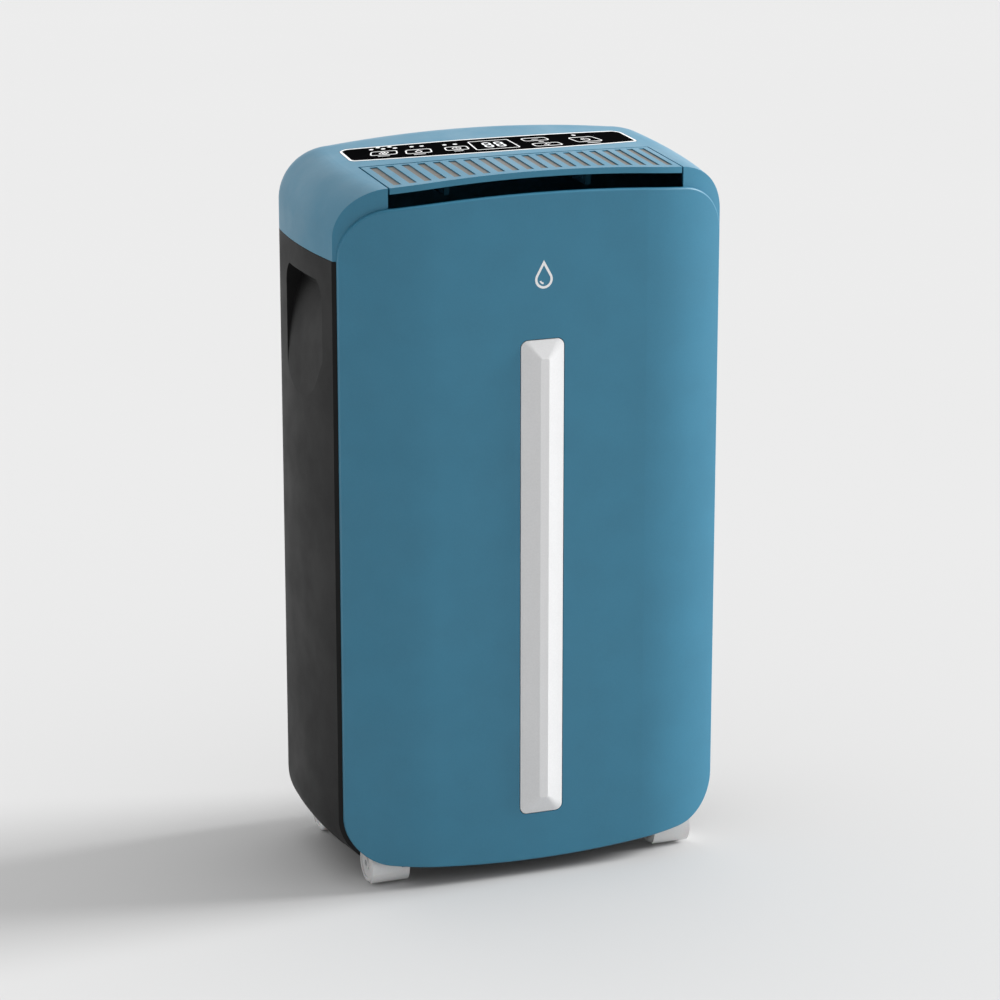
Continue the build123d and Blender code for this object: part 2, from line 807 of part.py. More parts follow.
def make_bottom_cover(shell):
    reach = split_x - seam / 2
    cover = shell & block(-reach, reach, -panel_front, body_back + 1, 0, body_bottom + wall)
    cover += shell & block(-reach, reach, 40, body_back + 1, 0, tank_bottom - 0.8)
    for well in caster_wells():
        cover -= well
    for x, y in base_screw_places():
        cover -= rod_z(screw_radius + 0.2, 0, body_bottom + 10, x, y)
        cover -= rod_z(screw_head_radius + 0.2, 0, body_bottom + screw_head_height - 0.8, x, y)
    return cover


def make_rear_cover(shell):
    reach = split_x - seam / 2
    cover = shell & block(-reach, reach, body_back - 20, body_back + 1, deck_bottom - 1, parting_z - seam)
    span = grille_width / 2
    low = grille_bottom()
    high = low + grille_height
    lip = grille_lip
    cover += block(-span - lip, span + lip, body_back - grille_depth - lip, body_back - 1,
                   low - lip, high + lip)
    cover -= block(-span, span, body_back - grille_depth, body_back + 1, low, high)
    cover -= block(-span + lip, span - lip, 0, body_back, low + lip, high - lip)
    z = fitting_height()
    cover += rod_y(spigot_recess_radius + wall, body_back - spigot_length - wall, body_back - 1, fitting_x, z)
    cover -= rod_y(spigot_recess_radius, body_back - spigot_length, body_back + 1, fitting_x, z)
    cover -= rod_y(spigot_radius + 0.2, body_back - 40, body_back, fitting_x, z)
    cover -= rod_y(gland_radius, body_back - 20, body_back + 1, -fitting_x, z)
    for side in (-1, 1):
        for z in rear_screw_heights():
            x = side * rear_screw_x()
            cover -= rod_y(screw_radius + 0.2, body_back - 10, body_back + 1, x, z)
            cover -= rod_y(screw_head_radius + 0.2, body_back - 1.4, body_back + 1, x, z)
    return cover


def grille_bottom():
    return deck_top + grille_above_deck


def fitting_height():
    return deck_top + fitting_z


def make_filter_frame():
    """Louvred inlet grille, which carries the filter and pulls out to the rear."""
    span = grille_width / 2 - filter_fit
    low = grille_bottom() + filter_fit
    high = grille_bottom() + grille_height - filter_fit
    front = body_back - grille_depth + filter_fit
    frame = block(-span, span, front, body_back, low, high)
    frame -= block(-span + grille_frame, span - grille_frame, front - 1, body_back + 1,
                   low + grille_frame, high - grille_frame)
    inner_low = low + grille_frame
    inner_high = high - grille_frame
    count = int((inner_high - inner_low) / slat_pitch)
    pitch = (inner_high - inner_low) / count
    for i in range(1, count):
        z = inner_low + i * pitch
        frame += block(-span + 2, span - 2, body_back - grille_thickness, body_back - 0.6,
                       z - slat_thickness / 2, z + slat_thickness / 2)
    for x in (-span / 3, span / 3):
        frame += block(x - 2, x + 2, body_back - grille_thickness, body_back - 1.2, low + 2, high - 2)
    return frame


def make_filter_mesh():
    """Fine mesh behind the louvres."""
    span = grille_width / 2 - filter_fit - grille_frame
    low = grille_bottom() + filter_fit + grille_frame
    high = grille_bottom() + grille_height - filter_fit - grille_frame
    front = body_back - grille_depth + filter_fit
    return block(-span, span, front, front + filter_mesh_thickness, low, high)


# ------------------------------------------------------------------ base, deck, drip tray
def base_screw_places():
    return [(x, y) for x in (-base_screw_x, base_screw_x) for y in (-base_screw_y, base_screw_y)]


def make_base():
    fit = wall + base_fit
    form = lower_block(frame_setback + fit, fit) & block(-half, half, -panel_front, body_back, 0, base_top)
    inside = lower_block(frame_setback + fit + base_skirt, fit + base_skirt)
    inside = inside & block(-half, half, -panel_front, body_back, 0, base_top - base_plate)
    low = body_bottom + fit
    inside += block(-half + 60, half - 60, -panel_front + 20, body_back - 55, 0, low + 10)
    base = form - inside
    ribs = block(-base_cross_rib / 2, base_cross_rib / 2, -base_rib / 2, base_rib / 2, low, base_top - 1)
    for x in (-base_screw_x, base_screw_x):
        ribs += block(x - base_rib / 2, x + base_rib / 2, -base_long_rib / 2, base_long_rib / 2,
                      low, base_top - 1)
    base += ribs & form
    for x, y in base_screw_places():
        base += rod_z(screw_radius + 3, low, base_top - 1, x, y)
        base -= rod_z(screw_radius, low - 1, low + screw_length, x, y)
    for _, side, end in corners:
        x = side * caster_x
        y = end * caster_y
        base -= rod_z(well_radius, 0, well_ceiling, x, y)
        base += rod_z(stem_radius + boss_wall, well_ceiling, base_top, x, y)
        base -= rod_z(stem_radius + stem_play, well_ceiling - 1, well_ceiling + stem_length, x, y)
    return base


def make_mid_deck():
    fit = wall + base_fit
    slab = block(-half, half, -panel_front, body_back, deck_bottom, deck_top)
    deck = lower_block(frame_setback + fit, fit) & slab
    spout_y = drip_spout_y()
    deck -= rod_z(drip_spout_radius + 0.3, deck_bottom - 1, deck_top + 1, 0, spout_y)
    for x, y in ((-riser_x, compressor_y), (-suction_x, suction_y)):
        deck -= rod_z(pipe_radius + 2, deck_bottom - 1, deck_top + 1, x, y)
    for x in (-fitting_x, fitting_x):
        deck -= rod_y(spigot_recess_radius + wall + 0.4, body_back - gland_length - wall - 1, body_back,
                      x, fitting_height())
    for side in (-1, 1):
        x0 = split_x - flange_reach - 1
        x1 = split_x + 6
        notch_rear = body_back - wall - base_fit
        deck -= block(min(side * x0, side * x1), max(side * x0, side * x1), notch_rear - wall - 0.4,
                      body_back, deck_bottom - 1, deck_top + 1)
    return deck


def coil_rear_y():
    return coil_front_y + 2 * coil_depth + coil_gap


def drip_spout_y():
    return coil_rear_y() - coil_depth / 2


def make_drip_tray():
    span = coil_width / 2 + drip_margin
    front = coil_front_y - drip_margin
    rear = coil_rear_y() + drip_margin
    top = deck_top + drip_depth
    tray = block(-span - drip_wall, span + drip_wall, front - drip_wall, rear + drip_wall, deck_top, top)
    tray -= block(-span, span, front, rear, deck_top + drip_wall, top + 1)
    tray += rod_z(drip_spout_radius, deck_bottom, deck_top + 1, 0, drip_spout_y())
    tray -= rod_z(drip_spout_radius - drip_wall, deck_bottom - 1, deck_top + drip_wall + 1, 0, drip_spout_y())
    return tray


def make_drain_spigot():
    start = coil_rear_y() + drip_margin + drip_wall
    end = body_back - 0.5
    z = fitting_height()
    step = body_back - spigot_length
    spigot = rod_y(spigot_radius - 0.5, start, step + 1, fitting_x, z)
    spigot += rod_y(spigot_radius, step, end, fitting_x, z)
    spigot += rod_y(spigot_radius + 3, start, start + 3, fitting_x, z)
    spigot -= rod_y(spigot_bore, start - 1, end + 1, fitting_x, z)
    return spigot


def make_cord_gland():
    z = fitting_height()
    gland = rod_y(gland_radius, body_back - gland_length, body_back, -fitting_x, z)
    gland += rod_y(gland_radius + 2.5, body_back - wall - 4, body_back - wall, -fitting_x, z)
    gland -= rod_y(gland_bore, body_back - gland_length - 1, body_back + 1, -fitting_x, z)
    return gland


# ------------------------------------------------------------------ casters
def wheel_y(end):
    return end * (caster_y + caster_trail)


def make_caster_hood(side, end):
    x = side * caster_x
    y = wheel_y(end)
    span = wheel_gauge / 2 + wheel_width / 2
    reach = hood_outer + 1
    covered = block(x - span, x + span, y - reach, y + reach, axle_z + fender_lift, hood_top + 1)
    covered += block(x - span, x + span, min(y, y + end * reach), max(y, y + end * reach),
                     skirt_gap, hood_top + 1)
    ring = rod_x(hood_outer, x - span, x + span, y, axle_z)
    ring -= rod_x(hood_inner, x - span - 1, x + span + 1, y, axle_z)
    web = rod_x(hood_outer - 0.2, x - caster_web / 2, x + caster_web / 2, y, axle_z)
    hood = ring & covered
    hood += web & block(x - span, x + span, y - hood_outer, y + hood_outer, skirt_gap, hood_top)
    collar_low = axle_z + wheel_radius + 0.6
    hood += rod_z(stem_collar_radius, collar_low, well_ceiling - collar_gap, x, end * caster_y)
    hood += rod_z(stem_radius, collar_low, well_ceiling + stem_length - 1, x, end * caster_y)
    return hood - rod_x(axle_radius + axle_play, x - span, x + span, y, axle_z)


def make_caster_wheels(side, end):
    x = side * caster_x
    y = wheel_y(end)
    pair = []
    for step in (-1, 1):
        middle = x + step * wheel_gauge / 2
        wheel = rod_x(wheel_radius, middle - wheel_width / 2, middle + wheel_width / 2, y, axle_z)
        wheel = fillet(wheel.edges().filter_by(GeomType.CIRCLE), radius=wheel_edge_radius)
        face = middle + step * wheel_width / 2
        dish = rod_x(wheel_radius - 4.5, face - 1.2, face + 1.2, y, axle_z) - rod_x(
            axle_radius + 3, face - 2, face + 2, y, axle_z)
        wheel -= dish
        wheel -= rod_x(axle_radius, middle - wheel_width, middle + wheel_width, y, axle_z)
        pair.append(wheel)
    return group(pair)


def make_caster_axle(side, end):
    span = wheel_gauge / 2 + wheel_width / 2
    x = side * caster_x
    return rod_x(axle_radius, x - span, x + span, wheel_y(end), axle_z)


# ------------------------------------------------------------------ water tank
def tank_half():
    return split_x - seam / 2 - tank_side_gap


def make_water_tank():
    span = tank_half()
    tank = block(-span, span, tank_front_y, body_back, tank_bottom, tank_top)
    upright_edges = tank.edges().filter_by(Axis.Z).sort_by(Axis.Y)[:2]
    tank = fillet(upright_edges, radius=tank_corner_radius)
    tank = chamfer(tank.faces().sort_by(Axis.Z)[0].edges(), length=tank_bottom_chamfer)
    hollow = block(-span + tank_wall, span - tank_wall, tank_front_y + tank_wall, body_back - tank_wall,
                   tank_bottom + tank_wall, tank_top + 1)
    hollow = fillet(hollow.edges().filter_by(Axis.Z), radius=tank_corner_radius - tank_wall)
    hollow = chamfer(hollow.faces().sort_by(Axis.Z)[0].edges(), length=tank_bottom_chamfer)
    face_top = deck_bottom - 2
    tank -= hollow
    tank += block(-span, span, body_back - tank_wall, body_back, tank_top - 1, face_top)
    grip_low = tank_top + tank_lid_thickness + 3
    grip_half = tank_grip_width / 2
    tank += block(-grip_half - 2, grip_half + 2, body_back - tank_grip_depth - 2, body_back,
                  grip_low, grip_low + tank_grip_height + 4)
    tank -= block(-grip_half, grip_half, body_back - tank_grip_depth, body_back + 1,
                  grip_low + 2, grip_low + 2 + tank_grip_height)
    return tank


def lid_top():
    return tank_top + tank_lid_thickness


def handle_z():
    return lid_top() + 0.6 + handle_thickness / 2


def make_tank_lid():
    span = tank_half()
    rear = body_back - tank_wall - lid_play
    lid = block(-span, span, tank_front_y, rear, tank_top, lid_top())
    lid = fillet(lid.edges().filter_by(Axis.Z).sort_by(Axis.Y)[:2], radius=tank_corner_radius)
    inset = tank_wall + lid_play
    plug = block(-span + inset, span - inset, tank_front_y + inset, rear - lid_play,
                 tank_top - plug_depth, tank_top)
    plug = fillet(plug.edges().filter_by(Axis.Z), radius=tank_corner_radius - tank_wall)
    inset += plug_wall
    hollow = block(-span + inset, span - inset, tank_front_y + inset, rear - lid_play - plug_wall,
                   tank_top - plug_depth, tank_top)
    lid += plug - fillet(hollow.edges().filter_by(Axis.Z), radius=tank_corner_radius - tank_wall - plug_wall)
    lid -= rod_z(fill_hole_radius, tank_top, lid_top(), 0, drip_spout_y())
    for side in (-1, 1):
        x = side * (handle_half + handle_thickness / 2 + handle_lug_gap + handle_lug / 2)
        lid += block(x - handle_lug / 2, x + handle_lug / 2, handle_y - handle_lug, handle_y + handle_lug,
                     lid_top(), handle_z() + handle_lug_reach)
        lid -= rod_x(handle_pin_radius + handle_play, x - handle_lug, x + handle_lug, handle_y, handle_z())
    for side in (-1, 1):
        x = float_x + side * (float_arm_width / 2 + float_lug_gap + float_lug / 2)
        lid += block(x - float_lug / 2, x + float_lug / 2, float_pivot_y - float_lug_reach,
                     float_pivot_y + float_lug_reach, float_z() - float_lug_reach, tank_top)
    reach = float_arm_width / 2 + float_lug_gap + float_lug / 2
    return lid + rod_x(float_pin_radius, float_x - reach, float_x + reach, float_pivot_y, float_z())


def make_tank_handle():
    t = handle_thickness / 2
    z = handle_z()
    front = handle_y - handle_arm
    handle = block(-handle_half - t, handle_half + t, front - t, front + t, z - t, z + t)
    for side in (-1, 1):
        x = side * handle_half
        handle += block(x - t, x + t, front, handle_y, z - t, z + t)
        handle += rod_x(t, x - t, x + t, handle_y, z)
        tip = side * (handle_half + t + handle_lug_gap + handle_lug)
        handle += rod_x(handle_pin_radius, min(x, tip), max(x, tip), handle_y, z)
    return handle


def float_z():
    return tank_top - float_pivot_drop


def make_tank_float():
    z = float_z()
    low = z - float_drop
    front = float_pivot_y - float_arm
    length, depth, height = float_size
    body = block(float_x - length / 2, float_x + length / 2, front - depth / 2, front + depth / 2,
                 low - height / 2, low + height / 2)
    w = float_arm_width / 2
    body += side_profile([(float_pivot_y, z + w), (float_pivot_y, z - w), (front, low - w), (front, low + w)],
                         float_x - w, float_x + w)
    body += rod_x(float_eye_radius, float_x - w, float_x + w, float_pivot_y, z)
    return body - rod_x(float_pin_radius + float_play, float_x - float_arm_width, float_x + float_arm_width,
                        float_pivot_y, z)


# ------------------------------------------------------------------ refrigeration circuit
def make_compressor():
    low = base_top + foot_height
    body = rod_z(compressor_radius, low + 3, low + 3 + compressor_height, compressor_x, compressor_y)
    body = fillet(body.edges().filter_by(GeomType.CIRCLE), radius=compressor_dome)
    width, depth, thickness = foot_plate_size
    plate = Pos(compressor_x, compressor_y, low + thickness / 2) * extrude(
        RectangleRounded(width, depth, 10), amount=thickness / 2, both=True)
    body += plate
    body += rod_z(compressor_radius - 14, low, low + 8, compressor_x, compressor_y)
    for x, y in compressor_bolt_places():
        body -= rod_z(foot_neck_radius, low - 1, low + 4, x, y)
    top = low + 3 + compressor_height
    body += rod_z(pipe_radius + 2, top - 3, top + 6, compressor_x + discharge_offset, compressor_y)
    length, depth, height = terminal_cover_size
    terminal_x = compressor_x - terminal_cover_offset
    body += block(terminal_x - length / 2, terminal_x + length / 2, compressor_y - depth / 2,
                  compressor_y + depth / 2, top - 4, top + height)
    return body


def compressor_bolt_places():
    return [(compressor_x + i * foot_x, compressor_y + j * foot_y) for i in (-1, 1) for j in (-1, 1)]


def make_compressor_feet():
    feet = []
    for x, y in compressor_bolt_places():
        foot = rod_z(foot_radius, base_top, base_top + foot_height, x, y)
        foot += rod_z(foot_neck_radius, base_top, base_top + foot_height + foot_neck_height, x, y)
        foot -= rod_z(foot_bolt_radius, base_top - 1, base_top + foot_height + 4, x, y)
        feet.append(foot)
    return group(feet)


def make_compressor_bolts():
    top = base_top + foot_height + foot_neck_height
    bolts = []
    hexagon = extrude(RegularPolygon(radius=bolt_head_radius, side_count=6), amount=bolt_head_height)
    for x, y in compressor_bolt_places():
        head = Pos(x, y, top) * hexagon
        bolts.append(head + rod_z(foot_bolt_radius, base_top, top + 1, x, y))
    return group(bolts)


def accumulator_x():
    return compressor_x - compressor_radius - accumulator_gap - accumulator_radius


def accumulator_low():
    return base_top + foot_height + 24


def make_accumulator():
    low = accumulator_low()
    x = accumulator_x()
    body = rod_z(accumulator_radius, low, low + accumulator_height, x, compressor_y)
    body = fillet(body.edges().filter_by(GeomType.CIRCLE), radius=accumulator_radius * 0.6)
    z = low + accumulator_height / 2
    bracket = block(x, compressor_x - compressor_radius + 2, compressor_y - 8, compressor_y + 8, z - 7, z + 7)
    bracket -= rod_z(compressor_radius, z - 20, z + 20, compressor_x, compressor_y)
    return body + bracket


def coil_bottom():
    return deck_top + drip_wall + 3


def row_heights():
    pitch = coil_height / coil_rows
    return [coil_bottom() + pitch * (i + 0.5) for i in range(coil_rows)]


def make_fin_block(front):
    """Pack of fins, grooved between the tubes, with a hole for each pass of the tube."""
    span = coil_width / 2
    low = coil_bottom()
    pack = block(-span, span, front, front + coil_depth, low, low + coil_height)
    pack += block(-span, span, front, front + coil_depth, deck_top + drip_wall, low + 1) & (
        block(-span, -span + 8, -200, 200, 0, 900) + block(span - 8, span, -200, 200, 0, 900))
    for z in row_heights():
        pack -= rod_x(coil_tube_radius, -span - 1, span + 1, front + coil_depth / 2, z)
    return pack


def make_coil_tube(front):
    """One serpentine tube through the fins; both ends come out on the left."""
    y = front + coil_depth / 2
    span = coil_width / 2 + coil_overhang + 6
    heights = row_heights()
    end = -coil_end_x()
    points = [(end, y, heights[0])]
    side = 1
    for i, z in enumerate(heights[:-1]):
        points.append((side * span, y, z))
        points.append((side * span, y, heights[i + 1]))
        side = -side
    points.append((end, y, heights[-1]))
    bend = coil_height / coil_rows / 2 - 0.2
    return tube(points, coil_tube_radius, bend)


def coil_end_x():
    return coil_width / 2 + coil_overhang + 10


def make_discharge_pipe():
    x = compressor_x + discharge_offset
    y = compressor_y
    low = base_top + foot_height + 9 + compressor_height
    under = deck_bottom - 16
    top = row_heights()[-1]
    rear = coil_front_y + coil_depth / 2
    return tube([
        (x, y, low), (x, y, under), (-riser_x, y, under), (-riser_x, y, top),
        (-riser_x, rear, top), (-coil_end_x(), rear, top),
    ], pipe_radius, pipe_bend)


def make_suction_pipe():
    low = row_heights()[0]
    rear = coil_front_y + 1.5 * coil_depth + coil_gap
    under = deck_bottom - 40
    x = accumulator_x()
    return tube([
        (-coil_end_x(), rear, low), (-suction_x, rear, low), (-suction_x, suction_y, low),
        (-suction_x, suction_y, under), (x, suction_y, under), (x, compressor_y, under),
        (x, compressor_y, accumulator_low() + accumulator_height),
    ], pipe_radius, pipe_bend - 2)


def make_capillary():
    x = -coil_end_x() - 9
    front = coil_front_y + coil_depth / 2
    rear = front + coil_depth + coil_gap
    middle = (front + rear) / 2
    low = row_heights()[0]
    top = row_heights()[-1]
    return tube([
        (-coil_end_x(), front, low), (x, front, low), (x, middle, low), (x, middle, top),
        (x, rear, top), (-coil_end_x(), rear, top),
    ], capillary_radius, 4)


# ------------------------------------------------------------------ fan and outlet duct
def scroll_z():
    return deck_top + scroll_radius + 2


def neck_top():
    return scroll_z() + scroll_radius + scroll_neck_rise


def make_fan_scroll():
    z = scroll_z()
    wall_in = scroll_wall
    outer = rod_y(scroll_radius, scroll_front_y, scroll_rear_y, 0, z)
    outer += block(-scroll_neck_half, scroll_neck_half, scroll_front_y, scroll_rear_y, z, neck_top())
    inner = rod_y(scroll_radius - wall_in, scroll_front_y + wall_in, scroll_rear_y - wall_in, 0, z)
    inner += block(-scroll_neck_half + wall_in, scroll_neck_half - wall_in, scroll_front_y + wall_in,
                   scroll_rear_y - wall_in, z, neck_top() + 1)
    scroll = outer - inner
    scroll -= rod_y(scroll_inlet_radius, scroll_rear_y - 5, scroll_rear_y + 1, 0, z)
    scroll -= rod_y(fan_shaft_radius + 4, scroll_front_y - 1, scroll_front_y + 5, 0, z)
    high = z - scroll_foot_x
    feet = block(-scroll_foot_x, -scroll_foot_x + scroll_foot, scroll_front_y, scroll_rear_y, deck_top, high)
    feet += block(scroll_foot_x - scroll_foot, scroll_foot_x, scroll_front_y, scroll_rear_y, deck_top, high)
    scroll += feet - rod_y(scroll_radius - 1, scroll_front_y - 1, scroll_rear_y + 1, 0, z)
    return scroll


def make_impeller():
    z = scroll_z()
    back = scroll_front_y + scroll_wall + impeller_gap
    front = back + impeller_width
    wheel = rod_y(impeller_radius, back, back + impeller_back, 0, z)
    wheel += rod_y(impeller_radius, front - impeller_back, front, 0, z) - rod_y(
        impeller_eye_radius, front - 4, front + 1, 0, z)
    wheel += rod_y(fan_hub_radius, back, back + fan_hub_length, 0, z)
    blade_mid = (impeller_radius + impeller_eye_radius) / 2
    blade_length = impeller_radius - impeller_eye_radius - 2
    for i in range(blade_count):
        turn = 360 * i / blade_count
        blade = Box(blade_length, impeller_width - 1, blade_thickness)
        blade = Pos(blade_mid, 0, 0) * Rot(0, blade_pitch, 0) * blade
        wheel += Pos(0, (back + front) / 2, z) * Rot(0, turn, 0) * blade
    return wheel - rod_y(fan_shaft_radius, back - 1, front + 1, 0, z)


def make_fan_shaft():
    rear = scroll_front_y + scroll_wall + 32
    return rod_y(fan_shaft_radius, scroll_front_y - motor_length + 8, rear, 0, scroll_z())


def make_fan_motor():
    z = scroll_z()
    rear = scroll_front_y
    motor = rod_y(motor_radius, rear - motor_length, rear - 2, 0, z)
    motor = fillet(motor.edges().filter_by(GeomType.CIRCLE), radius=5)
    motor += rod_y(motor_radius + 8, rear - 3, rear, 0, z)
    return motor - rod_y(fan_shaft_radius + fan_shaft_play, rear - motor_length + 4, rear + 1, 0, z)


def duct_rim():
    """Half width, front and rear of the duct's upper rim."""
    front = -panel_front + cap_setback + wall + duct_front_gap
    return outlet_half - duct_side_gap, front, flap_hinge_y - duct_rear_gap


def make_outlet_duct():
    low = neck_top()
    high = panel_top - duct_top_drop
    top_half, top_front, top_rear = duct_rim()

    def flare(inset, z0, z1):
        lower = Pos(0, (scroll_front_y + scroll_rear_y) / 2, z0) * Rectangle(
            2 * scroll_neck_half - 2 * inset, scroll_rear_y - scroll_front_y - 2 * inset)
        upper = Pos(0, (top_front + top_rear) / 2, z1) * Rectangle(
            2 * top_half - 2 * inset, top_rear - top_front - 2 * inset)
        return loft([lower, upper])

    return flare(0, low, high) - flare(duct_wall, low, high)


def make_outlet_guard():
    """Finger guard across the top of the duct."""
    low = panel_top - duct_top_drop
    high = low + guard_height
    top_half, front, rear = duct_rim()
    guard = block(-top_half, top_half, front, rear, low, high)
    guard -= block(-top_half + guard_frame, top_half - guard_frame, front + guard_frame, rear - guard_frame,
                   low - 1, high + 1)
    count = int(2 * top_half / guard_pitch)
    for i in range(1, count):
        x = -top_half + 2 * top_half * i / count
        guard += block(x - guard_wire / 2, x + guard_wire / 2, front + 1, rear - 1, low, high)
    return guard


# ------------------------------------------------------------------ electronics and screws
def box_corners():
    width, depth, height = box_size
    return (box_x - width / 2, box_x + width / 2, box_y - depth / 2, box_y + depth / 2,
            base_top, base_top + height)


def make_electronics_box():
    x0, x1, y0, y1, z0, z1 = box_corners()
    case = block(x0, x1, y0, y1, z0, z1)
    return case - block(x0 + box_wall, x1 - box_wall, y0 - 1, y1 - box_wall, z0 + box_wall, z1 - box_wall)


def make_electronics_cover():
    x0, x1, y0, _, z0, z1 = box_corners()
    cover = block(x0, x1, y0 - box_wall, y0, z0, z1)
    for i in range(vent_count):
        z = z1 - vent_margin - vent_pitch * i
        cover -= block(x0 + vent_margin, x1 - vent_margin, y0 - box_wall - 1, y0 + 1, z, z + vent_height)
    return cover


def make_main_board():
    x0, x1, _, y1, z0, z1 = box_corners()
    y = y1 - box_wall - 6
    board = block(x0 + 6, x1 - 6, y, y + board_thickness, z0 + 8, z1 - 6)
    for x in (x0 + 12, x1 - 12):
        for z in (z0 + 14, z1 - 12):
            board += rod_y(3, y, y1 - box_wall, x, z)
    for x, z, width, height, depth in board_parts:
        board += block(x0 + x, x0 + x + width, y - depth, y + 0.2, z0 + z, z0 + z + height)
    return board


def make_capacitor():
    x0, x1, y0, _, z0, _ = box_corners()
    x = x1 - box_wall - capacitor_radius - 4
    y = y0 + capacitor_radius + 3
    can = rod_z(capacitor_radius, z0 + box_wall, z0 + box_wall + capacitor_height, x, y)
    return fillet(can.edges().filter_by(GeomType.CIRCLE), radius=2)


def screw_y(x, z):
    head = rod_y(screw_head_radius, body_back - 1.4, body_back - 0.2, x, z)
    return head + rod_y(screw_radius, body_back - screw_length, body_back - 1, x, z)


def make_cover_screws():
    """Screws of the rear cover and of the bottom cover, all alike."""
    screws = [screw_y(side * rear_screw_x(), z) for side in (-1, 1) for z in rear_screw_heights()]
    low = body_bottom + 0.2
    for x, y in base_screw_places():
        head = rod_z(screw_head_radius, low, body_bottom + screw_head_height - 0.8, x, y)
        screws.append(head + rod_z(screw_radius, low + 0.5, body_bottom + wall + screw_length - 1, x, y))
    return group(screws)


# ------------------------------------------------------------------ all sub-parts
def make_parts():
    parts = {}
    outer = lower_block(frame_setback, 0)
    shell = outer - lower_block(frame_setback + wall, wall)
    shell -= block(-half, half, -panel_front, body_back, parting_z - wall, parting_z + 1) & along_z(
        plan(frame_setback + wall, wall), parting_z - wall - 1, parting_z + 2)
    parts["front_panel"] = make_front_panel()
    parts["light_bar_lens"] = make_light_bar()
    parts["light_bar_board"] = make_light_board()
    parts["top_cover"] = make_top_cover()
    parts["control_overlay"] = make_control_overlay()
    parts["control_board"] = make_control_board()
    parts["number_display"] = make_number_display()
    parts["outlet_flap"] = make_outlet_flap()
    parts["outlet_flap_insert"] = make_flap_insert()
    parts["outlet_flap_pins"] = make_hinge_pins()
    parts["outlet_guard"] = make_outlet_guard()
    parts["outlet_duct"] = make_outlet_duct()
    right = make_right_casing(shell, outer)
    parts["right_casing"] = right
    parts["left_casing"] = mirrored(right)
    parts["front_frame"] = make_front_frame(shell)
    parts["bottom_cover"] = make_bottom_cover(shell)
    parts["rear_cover"] = make_rear_cover(shell)
    parts["filter_frame"] = make_filter_frame()
    parts["filter_mesh"] = make_filter_mesh()
    parts["base"] = make_base()
    parts["mid_deck"] = make_mid_deck()
    parts["drip_tray"] = make_drip_tray()
    parts["drain_spigot"] = make_drain_spigot()
    parts["cord_gland"] = make_cord_gland()
    for name, side, end in corners:
        parts[f"caster_hood_{name}"] = make_caster_hood(side, end)
        parts[f"caster_wheels_{name}"] = make_caster_wheels(side, end)
        parts[f"caster_axle_{name}"] = make_caster_axle(side, end)
    parts["water_tank"] = make_water_tank()
    parts["tank_lid"] = make_tank_lid()
    parts["tank_handle"] = make_tank_handle()
    parts["tank_float"] = make_tank_float()
    parts["compressor"] = make_compressor()
    parts["compressor_feet"] = make_compressor_feet()
    parts["compressor_bolts"] = make_compressor_bolts()
    parts["accumulator"] = make_accumulator()
    parts["condenser_fins"] = make_fin_block(coil_front_y)
    parts["condenser_tube"] = make_coil_tube(coil_front_y)
    evaporator_front = coil_front_y + coil_depth + coil_gap
    parts["evaporator_fins"] = make_fin_block(evaporator_front)
    parts["evaporator_tube"] = make_coil_tube(evaporator_front)
    parts["discharge_pipe"] = make_discharge_pipe()
    parts["suction_pipe"] = make_suction_pipe()
    parts["capillary_tube"] = make_capillary()
    parts["fan_scroll"] = make_fan_scroll()
    parts["impeller"] = make_impeller()
    parts["fan_shaft"] = make_fan_shaft()
    parts["fan_motor"] = make_fan_motor()
    parts["electronics_box"] = make_electronics_box()
    parts["electronics_cover"] = make_electronics_cover()
    parts["main_board"] = make_main_board()
    parts["capacitor"] = make_capacitor()
    parts["cover_screws"] = make_cover_screws()
    return parts


os.makedirs("parts", exist_ok=True)
for name, shape in make_parts().items():
    export_step(shape, f"parts/{name}.step")
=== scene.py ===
import json
from math import acos, atan2, ceil, cos, hypot, pi, radians, sin

import bmesh
import bpy
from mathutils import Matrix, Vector
from mathutils.bvhtree import BVHTree


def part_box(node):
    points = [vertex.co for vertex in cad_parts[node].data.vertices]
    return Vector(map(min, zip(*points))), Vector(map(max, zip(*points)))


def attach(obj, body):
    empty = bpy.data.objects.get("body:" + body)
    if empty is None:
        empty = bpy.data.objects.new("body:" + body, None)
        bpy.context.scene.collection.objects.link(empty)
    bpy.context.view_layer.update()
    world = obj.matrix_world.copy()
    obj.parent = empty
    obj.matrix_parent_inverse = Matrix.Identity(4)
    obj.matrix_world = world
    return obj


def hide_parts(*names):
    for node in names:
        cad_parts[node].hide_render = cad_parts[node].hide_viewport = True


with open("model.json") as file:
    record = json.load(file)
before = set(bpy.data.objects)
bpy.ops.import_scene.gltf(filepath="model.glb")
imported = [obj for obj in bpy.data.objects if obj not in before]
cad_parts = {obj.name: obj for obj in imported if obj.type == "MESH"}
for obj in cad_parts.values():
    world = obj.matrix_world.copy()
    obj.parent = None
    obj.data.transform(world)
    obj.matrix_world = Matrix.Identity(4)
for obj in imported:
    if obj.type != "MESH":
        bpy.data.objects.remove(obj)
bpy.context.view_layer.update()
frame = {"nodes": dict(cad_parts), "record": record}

# Portable dehumidifier: materials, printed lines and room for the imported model, in its own frame.

nodes = frame["nodes"]
MM = 0.001

